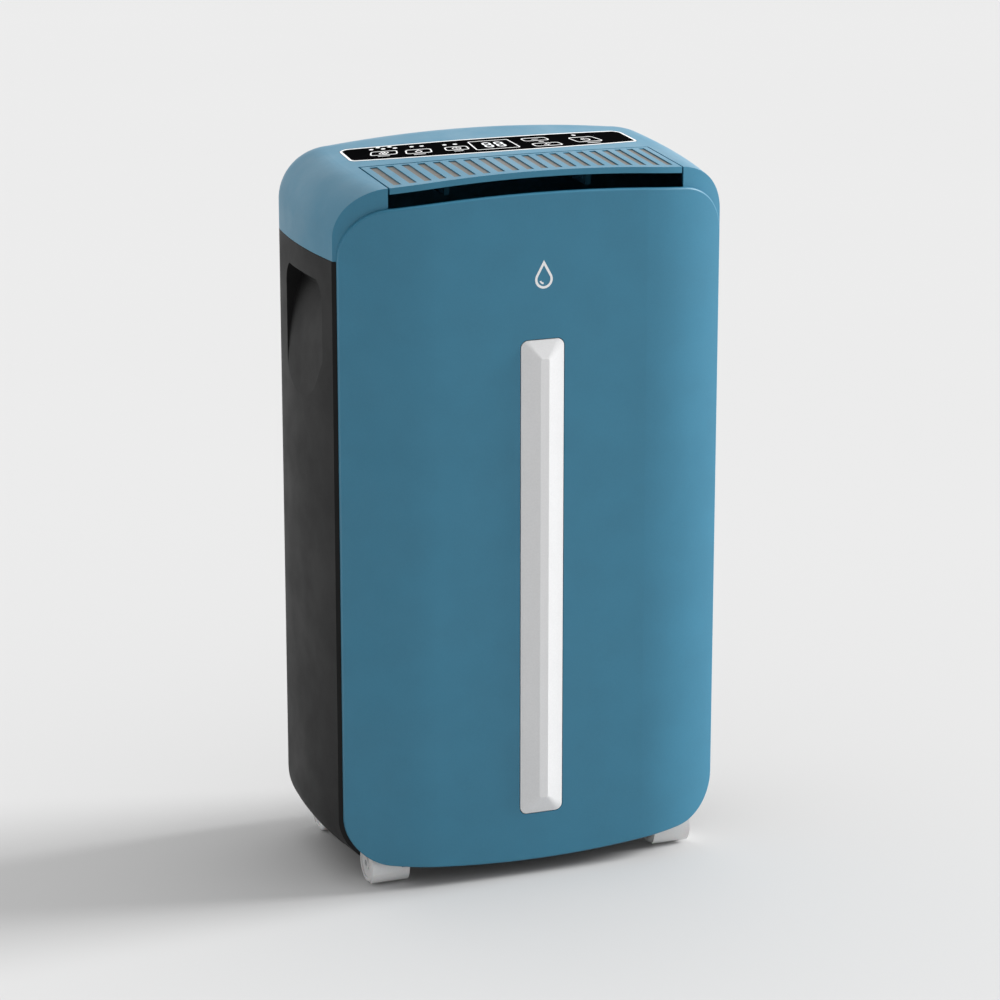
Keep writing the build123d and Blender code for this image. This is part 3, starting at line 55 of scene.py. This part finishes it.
# ------------------------------------------------------------------ node trees
class Tree:
    """Short calls for building one material's nodes."""

    def __init__(self, name):
        self.material = bpy.data.materials.new(name)
        self.material.use_nodes = True
        self.tree = self.material.node_tree
        self.shader = self.tree.nodes["Principled BSDF"]
        self.place = self.add("ShaderNodeTexCoord").outputs["Object"]

    def feed(self, socket, value):
        """Links an output to a socket, or gives the socket a plain value."""
        if isinstance(value, bpy.types.NodeSocket):
            self.tree.links.new(value, socket)
        else:
            socket.default_value = value

    def add(self, kind, **inputs):
        node = self.tree.nodes.new(kind)
        for name, value in inputs.items():
            self.feed(node.inputs[name.replace("_", " ")], value)
        return node

    def link(self, output, name):
        self.tree.links.new(output, self.shader.inputs[name])

    def set(self, **inputs):
        for name, value in inputs.items():
            self.shader.inputs[name.replace("_", " ")].default_value = value

    def noise(self, size, detail=3.0, roughness=0.55, stretch=(1, 1, 1)):
        """Noise from 0 to 1 whose lumps are about `size` millimetres across."""
        place = self.place
        if stretch != (1, 1, 1):
            place = self.add("ShaderNodeMapping", Vector=place, Scale=stretch).outputs["Vector"]
        node = self.add("ShaderNodeTexNoise", Vector=place, Scale=1 / (size * MM), Detail=detail,
                        Roughness=roughness)
        return node.outputs["Fac"]

    def cells(self, size):
        node = self.add("ShaderNodeTexVoronoi", Vector=self.place, Scale=1 / (size * MM))
        return node.outputs["Distance"]

    def span(self, value, low, high, start=0.35, end=0.65):
        """Maps a value from start..end to low..high."""
        node = self.add("ShaderNodeMapRange", Value=value)
        node.inputs["From Min"].default_value = start
        node.inputs["From Max"].default_value = end
        node.inputs["To Min"].default_value = low
        node.inputs["To Max"].default_value = high
        return node.outputs["Result"]

    def math(self, operation, a, b):
        node = self.tree.nodes.new("ShaderNodeMath")
        node.operation = operation
        for socket, value in zip(node.inputs, (a, b)):
            self.feed(socket, value)
        return node.outputs["Value"]

    def mix(self, share, a, b):
        """Colour a where share is 0 and b where it is 1."""
        node = self.tree.nodes.new("ShaderNodeMix")
        node.data_type = "RGBA"
        for name, value in (("Factor_Float", share), ("A_Color", a), ("B_Color", b)):
            socket = next(s for s in node.inputs if s.identifier == name)
            self.feed(socket, (*value, 1) if isinstance(value, tuple) else value)
        return next(s for s in node.outputs if s.identifier == "Result_Color")

    def bump(self, height, depth, normal=None):
        """Bumps of `depth` millimetres."""
        node = self.add("ShaderNodeBump", Height=height, Strength=1.0, Distance=depth * MM)
        if normal is not None:
            self.tree.links.new(normal, node.inputs["Normal"])
        return node.outputs["Normal"]

    def soft_edge(self, radius):
        """The surface's direction with its edges rounded to `radius` millimetres."""
        node = self.add("ShaderNodeBevel", Radius=radius * MM)
        node.samples = 4
        return node.outputs["Normal"]

    def edge_share(self, radius):
        """1 along sharp edges and 0 on open surfaces."""
        rounded = self.add("ShaderNodeBevel", Radius=radius * MM)
        rounded.samples = 4
        flat = self.add("ShaderNodeNewGeometry").outputs["Normal"]
        dot = self.tree.nodes.new("ShaderNodeVectorMath")
        dot.operation = "DOT_PRODUCT"
        self.tree.links.new(rounded.outputs["Normal"], dot.inputs[0])
        self.tree.links.new(flat, dot.inputs[1])
        return self.span(dot.outputs["Value"], 1.0, 0.0, 0.72, 0.99)


def shade(colour, factor):
    return tuple(min(c * factor, 1.0) for c in colour)


# ------------------------------------------------------------------ materials
def moulded(name, colour, roughness, grain=0.5, depth=0.012, edge=0.35, edge_highlight_gain=1.25, mottle=0.05):
    """Moulded plastic with a spark-eroded grain, slight colour drift and a painted highlight: sharp edges
    painted lighter in patches.
    """
    t = Tree(name)
    drift = t.span(t.noise(38, 4), 0.0, 1.0)
    speck = t.span(t.noise(1.6, 2), 0.0, 1.0)
    body = t.mix(drift, shade(colour, 1 - mottle), shade(colour, 1 + mottle))
    body = t.mix(t.math("MULTIPLY", speck, 0.12), body, shade(colour, 1.3))
    # Painted highlight: the colour along sharp edges is lightened in patches to stand in for the light that
    # rounded edges catch.
    painted_edge_highlight = t.math("MULTIPLY", t.edge_share(0.8), t.span(t.noise(6, 4), 0.1, 0.7))
    t.link(t.mix(painted_edge_highlight, body, shade(colour, edge_highlight_gain)), "Base Color")
    smear = t.noise(55, 5, 0.6)
    t.link(t.span(smear, roughness - 0.05, roughness + 0.05), "Roughness")
    grains = t.math("ADD", t.noise(grain, 2), t.cells(grain * 1.7))
    t.link(t.bump(grains, depth, t.soft_edge(edge)), "Normal")
    return t


def teal():
    t = moulded("teal_shell", (0.034, 0.190, 0.300), 0.44, grain=0.7, depth=0.010, edge_highlight_gain=1.35, mottle=0.03)
    t.set(IOR=1.46)
    return t.material


def charcoal():
    t = moulded("charcoal_shell", (0.013, 0.013, 0.013), 0.54, grain=0.6, depth=0.020, edge=0.4,
                edge_highlight_gain=1.7, mottle=0.08)
    t.set(IOR=1.46, Specular_IOR_Level=0.12)
    return t.material


def white_bar():
    t = moulded("white_light_bar", (0.76, 0.76, 0.765), 0.36, grain=0.9, depth=0.002, edge_highlight_gain=1.06, mottle=0.01)
    t.set(Subsurface_Weight=0.12, Subsurface_Scale=0.004, Subsurface_Radius=(1.0, 1.0, 1.0), IOR=1.49)
    return t.material


def white_nylon():
    """Caster plastic: smooth mouldings that let a little light in."""
    t = moulded("white_caster", (0.74, 0.74, 0.74), 0.40, grain=0.8, depth=0.006, edge=0.3,
                edge_highlight_gain=1.05, mottle=0.02)
    t.set(Subsurface_Weight=0.08, Subsurface_Scale=0.003)
    return t.material


def stripe_insert():
    return moulded("flap_insert", (0.125, 0.120, 0.108), 0.55, depth=0.008, edge=0.2,
                   edge_highlight_gain=1.1, mottle=0.04).material


def black_glass():
    """Printed black cover with faint wipe marks."""
    t = Tree("black_glass")
    wipe = t.noise(14, 5, 0.6, (1, 3.5, 1))
    t.link(t.mix(t.span(wipe, 0, 1), (0.0022, 0.0022, 0.0024), (0.0032, 0.0032, 0.0036)), "Base Color")
    t.link(t.span(wipe, 0.10, 0.17), "Roughness")
    t.link(t.bump(t.noise(22, 1), 0.006), "Normal")
    t.set(IOR=1.30, Specular_IOR_Level=0.0)
    return t.material


def white_print():
    """Screen-printed white ink with a slightly uneven edge and film."""
    t = Tree("white_print")
    t.link(t.mix(t.span(t.noise(0.5, 3), 0, 1), (0.84, 0.84, 0.84), (0.92, 0.92, 0.92)), "Base Color")
    t.link(t.span(t.noise(0.8, 2), 0.42, 0.56), "Roughness")
    t.link(t.bump(t.noise(0.25, 2), 0.004), "Normal")
    return t.material


def lit_segments():
    t = Tree("lit_segments")
    glow = t.mix(t.span(t.noise(2.2, 2), 0, 1), (0.80, 0.83, 0.85), (0.92, 0.94, 0.95))
    t.link(glow, "Base Color")
    t.link(glow, "Emission Color")
    t.link(t.span(t.noise(0.6, 2), 0.3, 0.42), "Roughness")
    t.set(Emission_Strength=0.15)
    return t.material


def inner_plastic():
    return moulded("inner_plastic", (0.016, 0.017, 0.019), 0.52, grain=0.8, depth=0.02, edge=0.3,
                   edge_highlight_gain=1.6, mottle=0.1).material


def tank_plastic():
    """Smooth tank plastic with faint flow marks, clouded by water stains towards its foot."""
    t = Tree("tank_plastic")
    colour = (0.036, 0.037, 0.039)
    height = t.add("ShaderNodeSeparateXYZ", Vector=t.place).outputs["Z"]
    low = t.span(height, 1.0, 0.0, 0.06, 0.16)
    stain = t.math("MULTIPLY", t.span(t.noise(9, 6, 0.7), 0.0, 0.5), low)
    body = t.mix(t.span(t.noise(60, 3), 0, 1), shade(colour, 0.92), shade(colour, 1.08))
    t.link(t.mix(stain, body, (0.075, 0.076, 0.076)), "Base Color")
    t.link(t.span(t.noise(30, 4, 0.6, (1, 1, 0.3)), 0.28, 0.40), "Roughness")
    t.link(t.bump(t.noise(3.5, 2), 0.01, t.soft_edge(0.4)), "Normal")
    return t.material


def foam():
    t = Tree("float_foam")
    pores = t.cells(0.9)
    t.link(t.mix(t.span(pores, 0, 1, 0.1, 0.6), (0.55, 0.55, 0.52), (0.76, 0.76, 0.73)), "Base Color")
    t.link(t.span(t.noise(4, 3), 0.8, 0.92), "Roughness")
    t.link(t.bump(pores, 0.15), "Normal")
    return t.material


def circuit_board():
    """Green solder mask over copper tracks, with tinned pads."""
    t = Tree("circuit_board")
    lanes = t.add("ShaderNodeTexBrick", Vector=t.place, Scale=110.0).outputs["Fac"]
    mask = t.mix(lanes, (0.010, 0.085, 0.035), (0.020, 0.150, 0.060))
    pads = t.span(t.cells(4.0), 1.0, 0.0, 0.14, 0.17)
    t.link(t.mix(pads, mask, (0.60, 0.60, 0.58)), "Base Color")
    t.link(pads, "Metallic")
    t.link(t.span(t.noise(7, 3), 0.28, 0.40), "Roughness")
    t.link(t.bump(lanes, 0.03), "Normal")
    return t.material


def display_glass():
    t = Tree("display_glass")
    t.link(t.mix(t.noise(5, 3), (0.008, 0.008, 0.009), (0.014, 0.014, 0.016)), "Base Color")
    t.link(t.span(t.noise(9, 3), 0.08, 0.16), "Roughness")
    return t.material


def bare_metal(name, colour, roughness, streak=(1, 1, 1), stain=None):
    """Bare metal with drawing or turning marks, and spots of tarnish."""
    t = Tree(name)
    body = t.mix(t.span(t.noise(12, 5), 0, 1), shade(colour, 0.88), shade(colour, 1.08))
    if stain is not None:
        spots = t.span(t.noise(7, 6, 0.7), 0.0, 0.85, 0.55, 0.72)
        body = t.mix(spots, body, stain)
    t.link(body, "Base Color")
    marks = t.noise(0.6, 3, 0.6, streak)
    t.link(t.span(marks, roughness - 0.07, roughness + 0.09), "Roughness")
    t.link(t.bump(marks, 0.006, t.soft_edge(0.2)), "Normal")
    t.set(Metallic=1.0)
    return t.material


def painted_steel():
    """Gloss black paint over rolled steel, with orange peel and dust on what faces up."""
    t = Tree("painted_steel")
    up = t.add("ShaderNodeSeparateXYZ", Vector=t.add("ShaderNodeNewGeometry").outputs["Normal"]).outputs["Z"]
    dust = t.math("MULTIPLY", t.span(up, 0.0, 0.5, 0.2, 1.0), t.noise(5, 5))
    t.link(t.mix(dust, (0.012, 0.012, 0.013), (0.10, 0.095, 0.085)), "Base Color")
    t.link(t.span(t.math("ADD", dust, t.noise(20, 3)), 0.22, 0.45, 0.4, 1.0), "Roughness")
    t.link(t.bump(t.noise(2.2, 2), 0.03, t.soft_edge(0.5)), "Normal")
    return t.material


def rubber():
    t = Tree("rubber")
    t.link(t.mix(t.span(t.noise(4, 5), 0, 1), (0.012, 0.012, 0.012), (0.028, 0.027, 0.026)), "Base Color")
    t.link(t.span(t.noise(3, 3), 0.68, 0.82), "Roughness")
    t.link(t.bump(t.noise(0.5, 3), 0.03, t.soft_edge(0.4)), "Normal")
    return t.material


def nylon_net():
    t = Tree("mesh")
    lint = t.span(t.noise(8, 6, 0.7), 0.0, 0.5, 0.5, 0.75)
    t.link(t.mix(lint, (0.020, 0.020, 0.022), (0.16, 0.155, 0.145)), "Base Color")
    t.link(t.span(t.noise(1.2, 2), 0.5, 0.65), "Roughness")
    t.link(t.bump(t.noise(0.3, 2), 0.02), "Normal")
    return t.material


materials = {
    "teal_shell": teal(),
    "white_light_bar": white_bar(),
    "charcoal_shell": charcoal(),
    "flap_insert": stripe_insert(),
    "black_glass": black_glass(),
    "white_caster": white_nylon(),
    "steel": bare_metal("steel", (0.58, 0.58, 0.59), 0.30, (1, 6, 1)),
    "inner_plastic": inner_plastic(),
    "tank_plastic": tank_plastic(),
    "float_foam": foam(),
    "circuit_board": circuit_board(),
    "display_glass": display_glass(),
    "painted_steel": painted_steel(),
    "fin_aluminium": bare_metal("fin_aluminium", (0.80, 0.81, 0.82), 0.34, (1, 1, 5)),
    "copper": bare_metal("copper", (0.80, 0.36, 0.22), 0.28, (4, 1, 1), (0.24, 0.09, 0.05)),
    "rubber": rubber(),
    "mesh": nylon_net(),
}
for part in frame["record"]["subparts"]:
    mesh = nodes[part["node"]].data
    mesh.materials.clear()
    mesh.materials.append(materials[part["material_slot"]])


# ------------------------------------------------------------------ printed lines and figures
def surface_of(name):
    source = bmesh.new()
    source.from_mesh(nodes[name].data)
    tree = BVHTree.FromBMesh(source)
    source.free()
    return tree


def arc(x, y, radius, start, end, steps):
    """Points on an arc, with angles in degrees from the first axis."""
    angles = [radians(start + (end - start) * i / steps) for i in range(steps + 1)]
    return [(x + radius * cos(a), y + radius * sin(a)) for a in angles]


def rounded_box(x, y, width, height, radius, slant=0.0):
    """Closed outline of a box with round corners; slant moves its upper side sideways."""
    outline = []
    for i, (sx, sy) in enumerate(((1, 1), (-1, 1), (-1, -1), (1, -1))):
        outline += arc(sx * (width / 2 - radius), sy * (height / 2 - radius), radius, 90 * i, 90 * i + 90, 4)
    return [(x + px + slant * py / height, y + py) for px, py in outline]


def drop_outline(x, y, radius, height):
    """Closed outline of a water drop: a round foot whose tangents meet at a tip `height` above its centre."""
    lean = acos(radius / height) * 180 / pi
    return arc(x, y, radius, 90 + lean, 450 - lean, 24) + [(x, y + height)]


def divided(points, closed, longest=2.5):
    """The same path with no run longer than `longest`, so that it can follow a curved surface."""
    ends = points + points[:1] if closed else points
    path = []
    for (x0, y0), (x1, y1) in zip(ends, ends[1:]):
        count = max(1, ceil(hypot(x1 - x0, y1 - y0) / longest))
        path += [(x0 + (x1 - x0) * i / count, y0 + (y1 - y0) * i / count) for i in range(count)]
    return path if closed else path + [points[-1]]


def offsets(points, width, closed):
    """Left and right edges of a line of that width along the points, mitred at its corners."""
    sharpest = 0.4               # keeps the mitre of a tight corner from running away
    left, right = [], []
    last = len(points) - 1
    for i, (x, y) in enumerate(points):
        before = points[i - 1] if i or closed else points[0]
        after = points[(i + 1) % len(points)] if i < last or closed else points[last]
        a = Vector((x - before[0], y - before[1]))
        b = Vector((after[0] - x, after[1] - y))
        a = a.normalized() if a.length > 0 else b.normalized()
        b = b.normalized() if b.length > 0 else a
        way = (a + b).normalized()
        side = Vector((-way.y, way.x))
        reach = width / 2 / max(side.dot(Vector((-a.y, a.x))), sharpest)
        left.append((x + side.x * reach, y + side.y * reach))
        right.append((x - side.x * reach, y - side.y * reach))
    return left, right


class Print:
    """Thin raised ink on a curved surface. `lay` turns a point of the artwork into (place, direction)."""

    def __init__(self, name, lay, height=0.06, depth=0.12):
        self.name, self.lay, self.height, self.depth = name, lay, height * MM, depth * MM
        self.mesh = bmesh.new()

    def pair(self, point):
        place, way = self.lay(*point)
        return self.mesh.verts.new(place + way * self.height), self.mesh.verts.new(place - way * self.depth)

    def line(self, points, width, closed=False):
        points = divided(points, closed)
        left, right = offsets(points, width, closed)
        rungs = [(*self.pair(a), *self.pair(b)) for a, b in zip(left, right)]
        steps = list(zip(rungs, rungs[1:] + rungs[:1])) if closed else list(zip(rungs, rungs[1:]))
        for (a, b, c, d), (e, f, g, h) in steps:
            for face in ((a, c, g, e), (b, f, h, d), (a, e, f, b), (c, d, h, g)):
                self.mesh.faces.new(face)
        if not closed:
            for a, b, c, d in (rungs[0], rungs[-1]):
                self.mesh.faces.new((a, b, d, c))

    def patch(self, outline):
        """A small filled figure."""
        pairs = [self.pair(p) for p in outline]
        self.mesh.faces.new([top for top, _ in pairs])
        self.mesh.faces.new([low for _, low in reversed(pairs)])
        for (a, b), (c, d) in zip(pairs, pairs[1:] + pairs[:1]):
            self.mesh.faces.new((a, b, d, c))

    def dot(self, x, y, radius):
        self.patch(arc(x, y, radius, 0, 337.5, 15))

    def finish(self, material, body="root"):
        bmesh.ops.recalc_face_normals(self.mesh, faces=self.mesh.faces)
        return piece(self.name, self.mesh, material, body)


def piece(name, mesh, material, body):
    data = bpy.data.meshes.new(name)
    mesh.to_mesh(data)
    mesh.free()
    data.materials.append(material)
    obj = bpy.data.objects.new(name, data)
    bpy.context.scene.collection.objects.link(obj)
    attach(obj, body)
    return obj


# ------------------------------------------------------------------ control strip
def bow_radius(half, rise):
    """Radius of an arc whose ends lie `half` to each side of its middle and `rise` behind it."""
    return (half ** 2 + rise ** 2) / (2 * rise)


strip_low, strip_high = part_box("control_overlay")
strip_half = 138.0           # half of its front edge
strip_rise = 33.5            # how much further back the strip's front edge is at its ends
strip_depth = 53.0           # from the front edge to the rear edge
strip_radius = bow_radius(strip_half, strip_rise) + strip_depth / 2
strip_middle = strip_low.y / MM + strip_depth / 2
strip_ray = strip_high.z + 0.05    # height from which the strip's surface is looked for
overlay = surface_of("control_overlay")


def lay_on_plan(x, y):
    """The strip's surface above a point of the plan, in millimetres."""
    place, way, _, _ = overlay.ray_cast(Vector((x * MM, y * MM, strip_ray)), Vector((0, 0, -1)))
    return place, way


def lay_on_strip(u, v):
    """u runs along the strip's bow, v to the rear from the middle of its depth, both in millimetres."""
    angle = u / strip_radius
    return lay_on_plan((strip_radius - v) * sin(angle),
                       strip_middle + strip_radius - (strip_radius - v) * cos(angle))


def flow_icon(ink, u, v):
    """A fan: a hub with four curved blades."""
    ink.dot(u, v, 1.1)
    for turn in (20, 110, 200, 290):
        a = radians(turn)
        ink.line(arc(u + 2.1 * cos(a), v + 2.1 * sin(a), 1.9, turn - 150, turn + 60, 8), 1.1)


def clock_icon(ink, u, v):
    ink.line(arc(u, v, 3.6, 0, 345, 23), 1.1, closed=True)
    ink.line([(u, v + 2.3), (u, v), (u + 1.9, v)], 1.1)


def power_icon(ink, u, v):
    ink.line(arc(u, v, 3.9, 125, 415, 22), 1.3)
    ink.line([(u, v + 1.2), (u, v + 5.0)], 1.3)


def strip_print():
    ink = Print("control_strip_print", lay_on_strip)
    frame_line = 1.3
    for u, v, width, height in ((-105, -1.5, 23, 12), (-74.5, -4, 22, 13), (-40.5, -3.5, 20, 12),
                                (40, 9.5, 25, 10.5), (41.5, -11.5, 26, 10.5), (87, -2.5, 27, 17)):
        ink.line(rounded_box(u, v, width, height, 3.0), frame_line, closed=True)
    ink.line(rounded_box(-5.5, 0.5, 39, 31, 2.0), frame_line, closed=True)
    for u, v in ((-116.5, 13), (-110.5, 18.5), (-105.5, 13), (-99.5, 18.5), (-94.5, 13),
                 (-79, 13.5), (-69.5, 13.5), (-48.5, 11.5), (-38.5, 11.5), (86.5, 14.5)):
        ink.dot(u, v, 2.1)
    flow_icon(ink, -105, -1.5)
    ink.line(drop_outline(-74.5, -5.2, 2.6, 5.4), 1.1, closed=True)
    clock_icon(ink, -40.5, -3.5)
    ink.line([(36.8, 9.5), (43.2, 9.5)], 1.2)
    ink.line([(38.3, -11.5), (44.7, -11.5)], 1.2)
    ink.line([(41.5, -14.7), (41.5, -8.3)], 1.2)
    ink.line([(38.5, -1), (43.5, -1)], 1.4)
    power_icon(ink, 87, -3)
    for u, v, reach in ((-105, -11.5, 5), (-74.5, -14.5, 5), (-40.5, -13.5, 4), (87, -16, 7)):
        ink.line([(u - reach, v), (u + reach, v)], 1.3)
    return ink.finish(printed)


def strip_border():
    """The white line along the rounded edge of the black strip."""
    ink = Print("control_strip_border", lay_on_plan)
    width, margin, edge_corner = 2.3, 0.25, 8.0
    inset = width / 2 + margin
    corner = edge_corner - inset
    front_mid = strip_low.y / MM
    rear_mid, rear_half, rear_rise = front_mid + 53.5, 136.0, 24.5
    front_radius, rear_radius = bow_radius(strip_half, strip_rise), bow_radius(rear_half, rear_rise)
    front_centre, rear_centre = front_mid + front_radius, rear_mid + rear_radius
    front_end, rear_end = front_mid + strip_rise, rear_mid + rear_rise
    lean = (strip_half - rear_half) / (rear_end - front_end)
    tilt = atan2(lean, 1)

    def corner_place(centre, radius, y):
        """Centre of a rounded corner, at `corner` from the end line and from the inset arc."""
        for _ in range(8):
            x = strip_half - lean * (y - front_end) - (inset + corner) / cos(tilt)
            y = centre - (radius ** 2 - x ** 2) ** 0.5
        return x, y

    x0, y0 = corner_place(front_centre, front_radius - inset - corner, front_end)
    x1, y1 = corner_place(rear_centre, rear_radius + inset + corner, rear_end)
    turn = 180 / pi
    first = atan2(y0 - front_centre, x0) * turn
    last = atan2(rear_centre - y1, -x1) * turn
    half = arc(0, front_centre, front_radius - inset, -90, first, 40)
    half += arc(x0, y0, corner, first, tilt * turn, 8)[1:]
    half += arc(x1, y1, corner, tilt * turn, last, 10)
    half += arc(0, rear_centre, rear_radius + inset, last - 180, -90, 40)[1:]
    ink.line(half + [(-x, y) for x, y in reversed(half[1:-1])], width, closed=True)
    return ink.finish(printed)


def display_digits():
    """Two seven-segment figures, both showing an eight."""
    ink = Print("display_digits", lay_on_strip)
    wide, tall, bar, gap = 7.6, 18.0, 2.0, 0.5
    middle_v = 0.5
    spread = 0.4                 # upright bars this much further out
    thick = bar / 2
    for u in (-10.6, 0.8):
        for level in (-1, 0, 1):
            v = middle_v + level * (tall - bar) / 2
            left, right = u - wide / 2, u + wide / 2
            ink.patch([(left + gap, v), (left + bar, v + thick), (right - bar, v + thick),
                       (right - gap, v), (right - bar, v - thick), (left + bar, v - thick)])
        for side in (-1, 1):
            for half in (-1, 1):
                x = u + side * (wide / 2 - bar / 2 + spread)
                middle = middle_v + half * (tall - bar) / 4
                reach = (tall - bar) / 4 - gap
                foot, head = middle - reach, middle + reach
                ink.patch([(x, foot), (x + thick, foot + thick), (x + thick, head - thick),
                           (x, head), (x - thick, head - thick), (x - thick, foot + thick)])
    return ink.finish(lit_segments())


# ------------------------------------------------------------------ front panel
front = surface_of("front_panel")
front_ray = -0.2             # ahead of the whole front


def lay_on_front(x, z):
    place, way, _, _ = front.ray_cast(Vector((x * MM, front_ray, z * MM)), Vector((0, 1, 0)))
    return place, way


def drop_symbol():
    """A plain water drop with a highlight, above the light bar."""
    ink = Print("panel_drop_symbol", lay_on_front, 0.05, 0.1)
    middle = 1.0
    foot = 557.5
    ink.line(drop_outline(middle, foot, 7.2, 15.0), 2.2, closed=True)
    ink.line(arc(middle, foot, 3.6, 200, 265, 6), 1.6)
    return ink.finish(printed)


# ------------------------------------------------------------------ rear: net and fins
def filter_net():
    """Woven net in the filter frame: strands that pass over and under each other."""
    low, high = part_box("filter_mesh")
    pitch = 3.0 * MM
    half = 0.32 * MM
    rise = 0.22 * MM
    middle = (low.y + high.y) / 2
    net = bmesh.new()
    columns = int((high.x - low.x) / pitch)
    rows = int((high.z - low.z) / pitch)
    for across in (False, True):
        strands, crossings = (rows, columns) if across else (columns, rows)
        for i in range(strands):
            rings = []
            for j in range(crossings + 1):
                wave = rise if (i + j + across) % 2 else -rise
                if across:
                    centre = Vector((low.x + j * pitch, middle + wave, low.z + (i + 0.5) * pitch))
                    sides = ((0, -half, 0), (0, 0, half), (0, half, 0), (0, 0, -half))
                else:
                    centre = Vector((low.x + (i + 0.5) * pitch, middle + wave, low.z + j * pitch))
                    sides = ((0, -half, 0), (half, 0, 0), (0, half, 0), (-half, 0, 0))
                rings.append([net.verts.new(centre + Vector(s)) for s in sides])
            for a, b in zip(rings, rings[1:]):
                for k in range(4):
                    net.faces.new((a[k], a[(k + 1) % 4], b[(k + 1) % 4], b[k]))
            net.faces.new(rings[0])
            net.faces.new(rings[-1])
    bmesh.ops.recalc_face_normals(net, faces=net.faces)
    obj = piece("filter_net", net, materials["mesh"], "filter")
    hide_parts("filter_mesh")


def fin_pack(node):
    """The coil's fins: thin rippled plates side by side between two end plates."""
    low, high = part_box(node)
    pitch = 2.4 * MM
    thickness = 0.2 * MM
    ripple = 0.35 * MM
    folds = 6
    end_half = thickness * 3     # half of an end plate
    end_inset = 0.4 * MM         # how far a fin's front and rear edges are cut back
    pack = bmesh.new()
    count = int((high.x - low.x) / pitch)
    for i in range(count + 1):
        end_plate = i in (0, count)
        x = low.x + i * (high.x - low.x) / count
        x += end_half if i == 0 else (-end_half if i == count else 0)
        half = end_half if end_plate else thickness / 2
        columns = []
        for j in range(folds + 1):
            y = low.y + (high.y - low.y) * j / folds
            shift = 0 if end_plate else (ripple if j % 2 else -ripple)
            inset = 0 if 0 < j < folds else end_inset
            columns.append([pack.verts.new((x + shift + s * half, y, z))
                            for s in (-1, 1) for z in (low.z + inset, high.z - inset)])
        for a, b in zip(columns, columns[1:]):
            for p, q in ((0, 1), (3, 2), (2, 0), (1, 3)):
                pack.faces.new((a[p], a[q], b[q], b[p]))
        for c in (columns[0], columns[-1]):
            pack.faces.new((c[0], c[1], c[3], c[2]))
    bmesh.ops.recalc_face_normals(pack, faces=pack.faces)
    obj = piece(node + "_plates", pack, materials["fin_aluminium"], "root")
    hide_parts(node)


printed = white_print()
strip_print()
strip_border()
display_digits()
drop_symbol()
filter_net()
fin_pack("evaporator_fins")
fin_pack("condenser_fins")


# ------------------------------------------------------------------ room, light and camera
def floor():
    """A wide pale sheet under the object."""
    reach = 30.0
    sheet = bmesh.new()
    bmesh.ops.create_grid(sheet, x_segments=12, y_segments=12, size=reach)
    data = bpy.data.meshes.new("floor")
    sheet.to_mesh(data)
    sheet.free()
    t = Tree("floor")
    t.link(t.mix(t.noise(900, 3), (0.61, 0.61, 0.61), (0.62, 0.62, 0.62)), "Base Color")
    t.set(Roughness=0.9, Specular_IOR_Level=0.0)
    data.materials.append(t.material)
    obj = bpy.data.objects.new("floor", data)
    bpy.context.scene.collection.objects.link(obj)


def sky():
    """A pale room, brightest behind the object and to its right."""
    world = bpy.data.worlds.new("room")
    world.use_nodes = True
    tree = world.node_tree
    way = tree.nodes.new("ShaderNodeSeparateXYZ")
    tree.links.new(tree.nodes.new("ShaderNodeTexCoord").outputs["Generated"], way.inputs["Vector"])
    total = 0.86
    for axis, share in (("X", 0.24), ("Y", 0.42), ("Z", -0.02)):
        part = tree.nodes.new("ShaderNodeMath")
        part.operation = "MULTIPLY_ADD"
        tree.links.new(way.outputs[axis], part.inputs[0])
        part.inputs[1].default_value = share
        if axis == "X":
            part.inputs[2].default_value = total
        else:
            tree.links.new(total, part.inputs[2])
        total = part.outputs["Value"]
    back = tree.nodes["Background"]
    tree.links.new(total, back.inputs["Color"])
    bpy.context.scene.world = world


def key_light():
    """A broad soft light far to the right, a little above the object."""
    rise = radians(23.5)
    turn = radians(3.5)
    data = bpy.data.lights.new("key", "SUN")
    data.energy = 4.1
    data.angle = radians(20)
    obj = bpy.data.objects.new("key", data)
    towards = Vector((cos(rise) * cos(turn), -cos(rise) * sin(turn), sin(rise)))
    obj.rotation_mode = "QUATERNION"
    obj.rotation_quaternion = towards.to_track_quat("Z", "Y")
    bpy.context.scene.collection.objects.link(obj)


def camera():
    azimuth, elevation = radians(-20.74), radians(16.22)
    distance, height, shift = 3.34296, 0.32737, 0.00045
    sideways = Vector((cos(azimuth), sin(azimuth), 0))
    target = Vector((0, 0, height)) + sideways * shift
    back = Vector((sin(azimuth) * cos(elevation), -cos(azimuth) * cos(elevation), sin(elevation)))
    data = bpy.data.cameras.new("camera")
    data.sensor_width = 36
    data.lens = 130.96
    data.clip_end = 100
    obj = bpy.data.objects.new("camera", data)
    obj.location = target + back * distance
    obj.rotation_mode = "QUATERNION"
    obj.rotation_quaternion = back.to_track_quat("Z", "Y")
    bpy.context.scene.collection.objects.link(obj)
    bpy.context.scene.camera = obj


floor()
sky()
key_light()
camera()
bpy.context.scene.view_settings.view_transform = "Standard"
